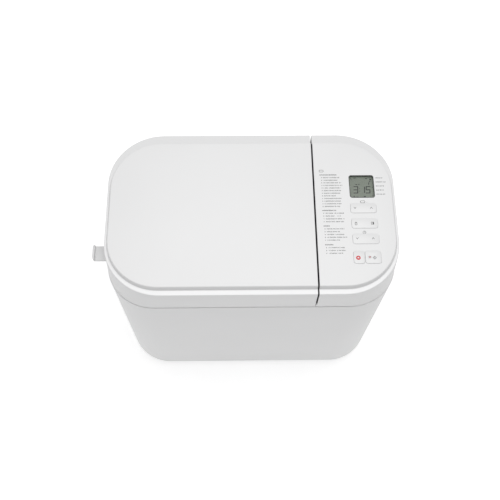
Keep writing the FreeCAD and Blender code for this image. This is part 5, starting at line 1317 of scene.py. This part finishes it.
def makeChamber():
    size = chamber
    low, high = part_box("chamber_liner")
    sheet, flange = size["sheet"], size["flange"]
    floor, deck = low.z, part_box("top_deck")[1].z
    bend, reach, tall = size["floorRound"], size["beadReach"], size["beadHeight"]

    def ring(out, z):
        corner = max(size["corner"] + out, size["corner"] * 0.3)
        return evenLoop(sidesOf(low, high), flange - out, corner, 14, z)

    def wall(offset):
        spots = [(offset, floor + sheet + bend)]
        for z in size["beads"]:
            spots += [(offset, z - tall / 2), (offset - reach * 0.7, z - tall / 4), (offset - reach, z),
                      (offset - reach * 0.7, z + tall / 4), (offset, z + tall / 2)]
        return spots

    # the wall's own first point ends the turn
    turn = quarter(5)[:-1]
    inner = [(-bend + bend * math.sin(angle), floor + sheet + bend - bend * math.cos(angle)) for angle in turn]
    inner += wall(0) + [(0, high.z - 0.8 * mm), (0.25 * mm, high.z - 0.25 * mm), (0.8 * mm, high.z)]
    outer = [(flange - 0.35 * mm, high.z), (flange, high.z - 0.35 * mm), (flange, deck), (sheet, deck)]
    outer += list(reversed(wall(sheet)))
    far = bend + sheet
    outer += [(sheet - far + far * math.sin(angle), floor + far - far * math.cos(angle))
              for angle in reversed(turn)]
    metal = paints["galvanised_sheet"]
    piece = stack("chamberLiner", [ring(out, z) for out, z in inner + outer], metal)
    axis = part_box("drive_shaft")
    centre = ((axis[0].x + axis[1].x) / 2, 0, floor - 3 * mm)
    tools = [holeTool(centre, size["floorHole"], 8 * mm, metal)]
    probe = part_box("chamber_sensor")
    spots = [((probe[0].y + probe[1].y) / 2, (probe[0].z + probe[1].z) / 2, size["probeHole"])]
    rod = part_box("heater_element")
    spots += [(side * size["heaterLegs"], (rod[0].z + rod[1].z) / 2, size["heaterHole"]) for side in (-1, 1)]
    tools += [holeTool((high.x - flange - 3 * mm, y, z), radius, 6 * mm, metal, "X") for y, z, radius in spots]
    place(carve(piece, *tools), "chamber_liner")


makeChamber()
print("baking chamber")

# the pan: drawn walls with a rolled rim and a shallow foot

pan = {"corner": 34 * mm, "draft": 5 * mm, "wall": 1.6 * mm, "lip": 3 * mm, "floorRound": 9 * mm,
       "hole": 10.05 * mm}


def makePan():
    size = pan
    low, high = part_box("pan_shell")
    wall, lip, draft, bend = size["wall"], size["lip"], size["draft"], size["floorRound"]
    tall = high.z - low.z

    def ring(inwards, z):
        # inwards from the outside of the wall at the rim
        return evenLoop(sidesOf(low, high), lip + inwards, max(size["corner"] - inwards, 3 * mm), 14, z)

    def lean(z):
        return draft * (high.z - z) / tall

    turn = quarter(6)
    floor = low.z + wall
    inner = [(lean(floor) + wall + bend * (1 - math.sin(angle)), floor + bend * (1 - math.cos(angle)))
             for angle in turn]
    inner += [(lean(high.z - 8 * mm) + wall, high.z - 8 * mm), (wall, high.z - 1 * mm),
              (wall - 0.3 * mm, high.z - 0.2 * mm), (wall - 1 * mm, high.z)]
    rim = [(-lip + 0.8 * mm, high.z), (-lip + 0.1 * mm, high.z - 0.35 * mm), (-lip, high.z - 0.9 * mm),
           (-lip + 0.15 * mm, high.z - 1.45 * mm), (-lip + 0.6 * mm, high.z - 1.6 * mm),
           (-0.3 * mm, high.z - 1.65 * mm), (lean(high.z - 3 * mm), high.z - 3 * mm)]
    far = bend + wall * 0.6
    outer = [(lean(low.z) + far * (1 - math.sin(angle)), low.z + far * (1 - math.cos(angle)))
             for angle in reversed(turn)]
    coating = paints["nonstick_coating"]
    piece = stack("panShell", [ring(*spot) for spot in inner + rim + outer], coating)
    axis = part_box("pan_shaft")
    centre = ((axis[0].x + axis[1].x) / 2, 0, low.z - 3 * mm)
    place(carve(piece, holeTool(centre, size["hole"], 8 * mm, coating)), "pan_shell")


grip = {"ribs": 13, "ribDepth": 0.5 * mm, "bore": 3.02 * mm, "endRound": 1 * mm}


def makeGrip():
    size = grip
    low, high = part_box("handle_grip")
    radius, soft, length = (high.z - low.z) / 2, size["endRound"], high.x - low.x
    profile = [(size["bore"], 0), (radius - soft, 0), (radius - soft * 0.3, soft * 0.3), (radius, soft)]
    pitch = (length - 12 * mm) / size["ribs"]
    for rib in range(size["ribs"]):
        start = 6 * mm + rib * pitch
        profile += [(radius, start + pitch * 0.2), (radius - size["ribDepth"], start + pitch * 0.38),
                    (radius - size["ribDepth"], start + pitch * 0.62), (radius, start + pitch * 0.8)]
    profile += [(radius, length - soft), (radius - soft * 0.3, length - soft * 0.3), (radius - soft, length),
                (size["bore"], length)]
    centre = (low.x, (low.y + high.y) / 2, (low.z + high.z) / 2)
    place(lathe("handleGrip", centre, profile, paints["black_plastic"], "X", 36), "handle_grip")


makePan()
makeGrip()
place(refined("kneading_blade", 1.1 * mm, angle=30), "kneading_blade")
place(refined("pan_handle", 0.5 * mm), "pan_handle")
print("pan, handle and blade")

# the motor's stator: copper coils above and below a laminated core

motorColours = {"coilReach": 0.2 * mm, "coreEnd": 0.6 * mm}


def makeMotor():
    stator = refined("motor_stator", 0.5 * mm)
    low, high = (corner.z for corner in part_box("motor_rotor"))
    low, high = low - motorColours["coreEnd"], high + motorColours["coilReach"]
    repaint(stator, copperWire, lambda middle: not low < middle.z < high)
    place(stator, "motor_stator")


makeMotor()
print("motor")

# what is left of the frame keeps its shape and gets its edges broken

edges = {"drive_belt": 0.4 * mm, "motor_fan": 0.4 * mm, "top_deck": 0.8 * mm, "heater_element": 0}
for node in sorted(frame["nodes"]):
    if not frame["nodes"][node].hide_render:
        place(refined(node, edges.get(node, 0.3 * mm)), node)
print("remaining pieces")
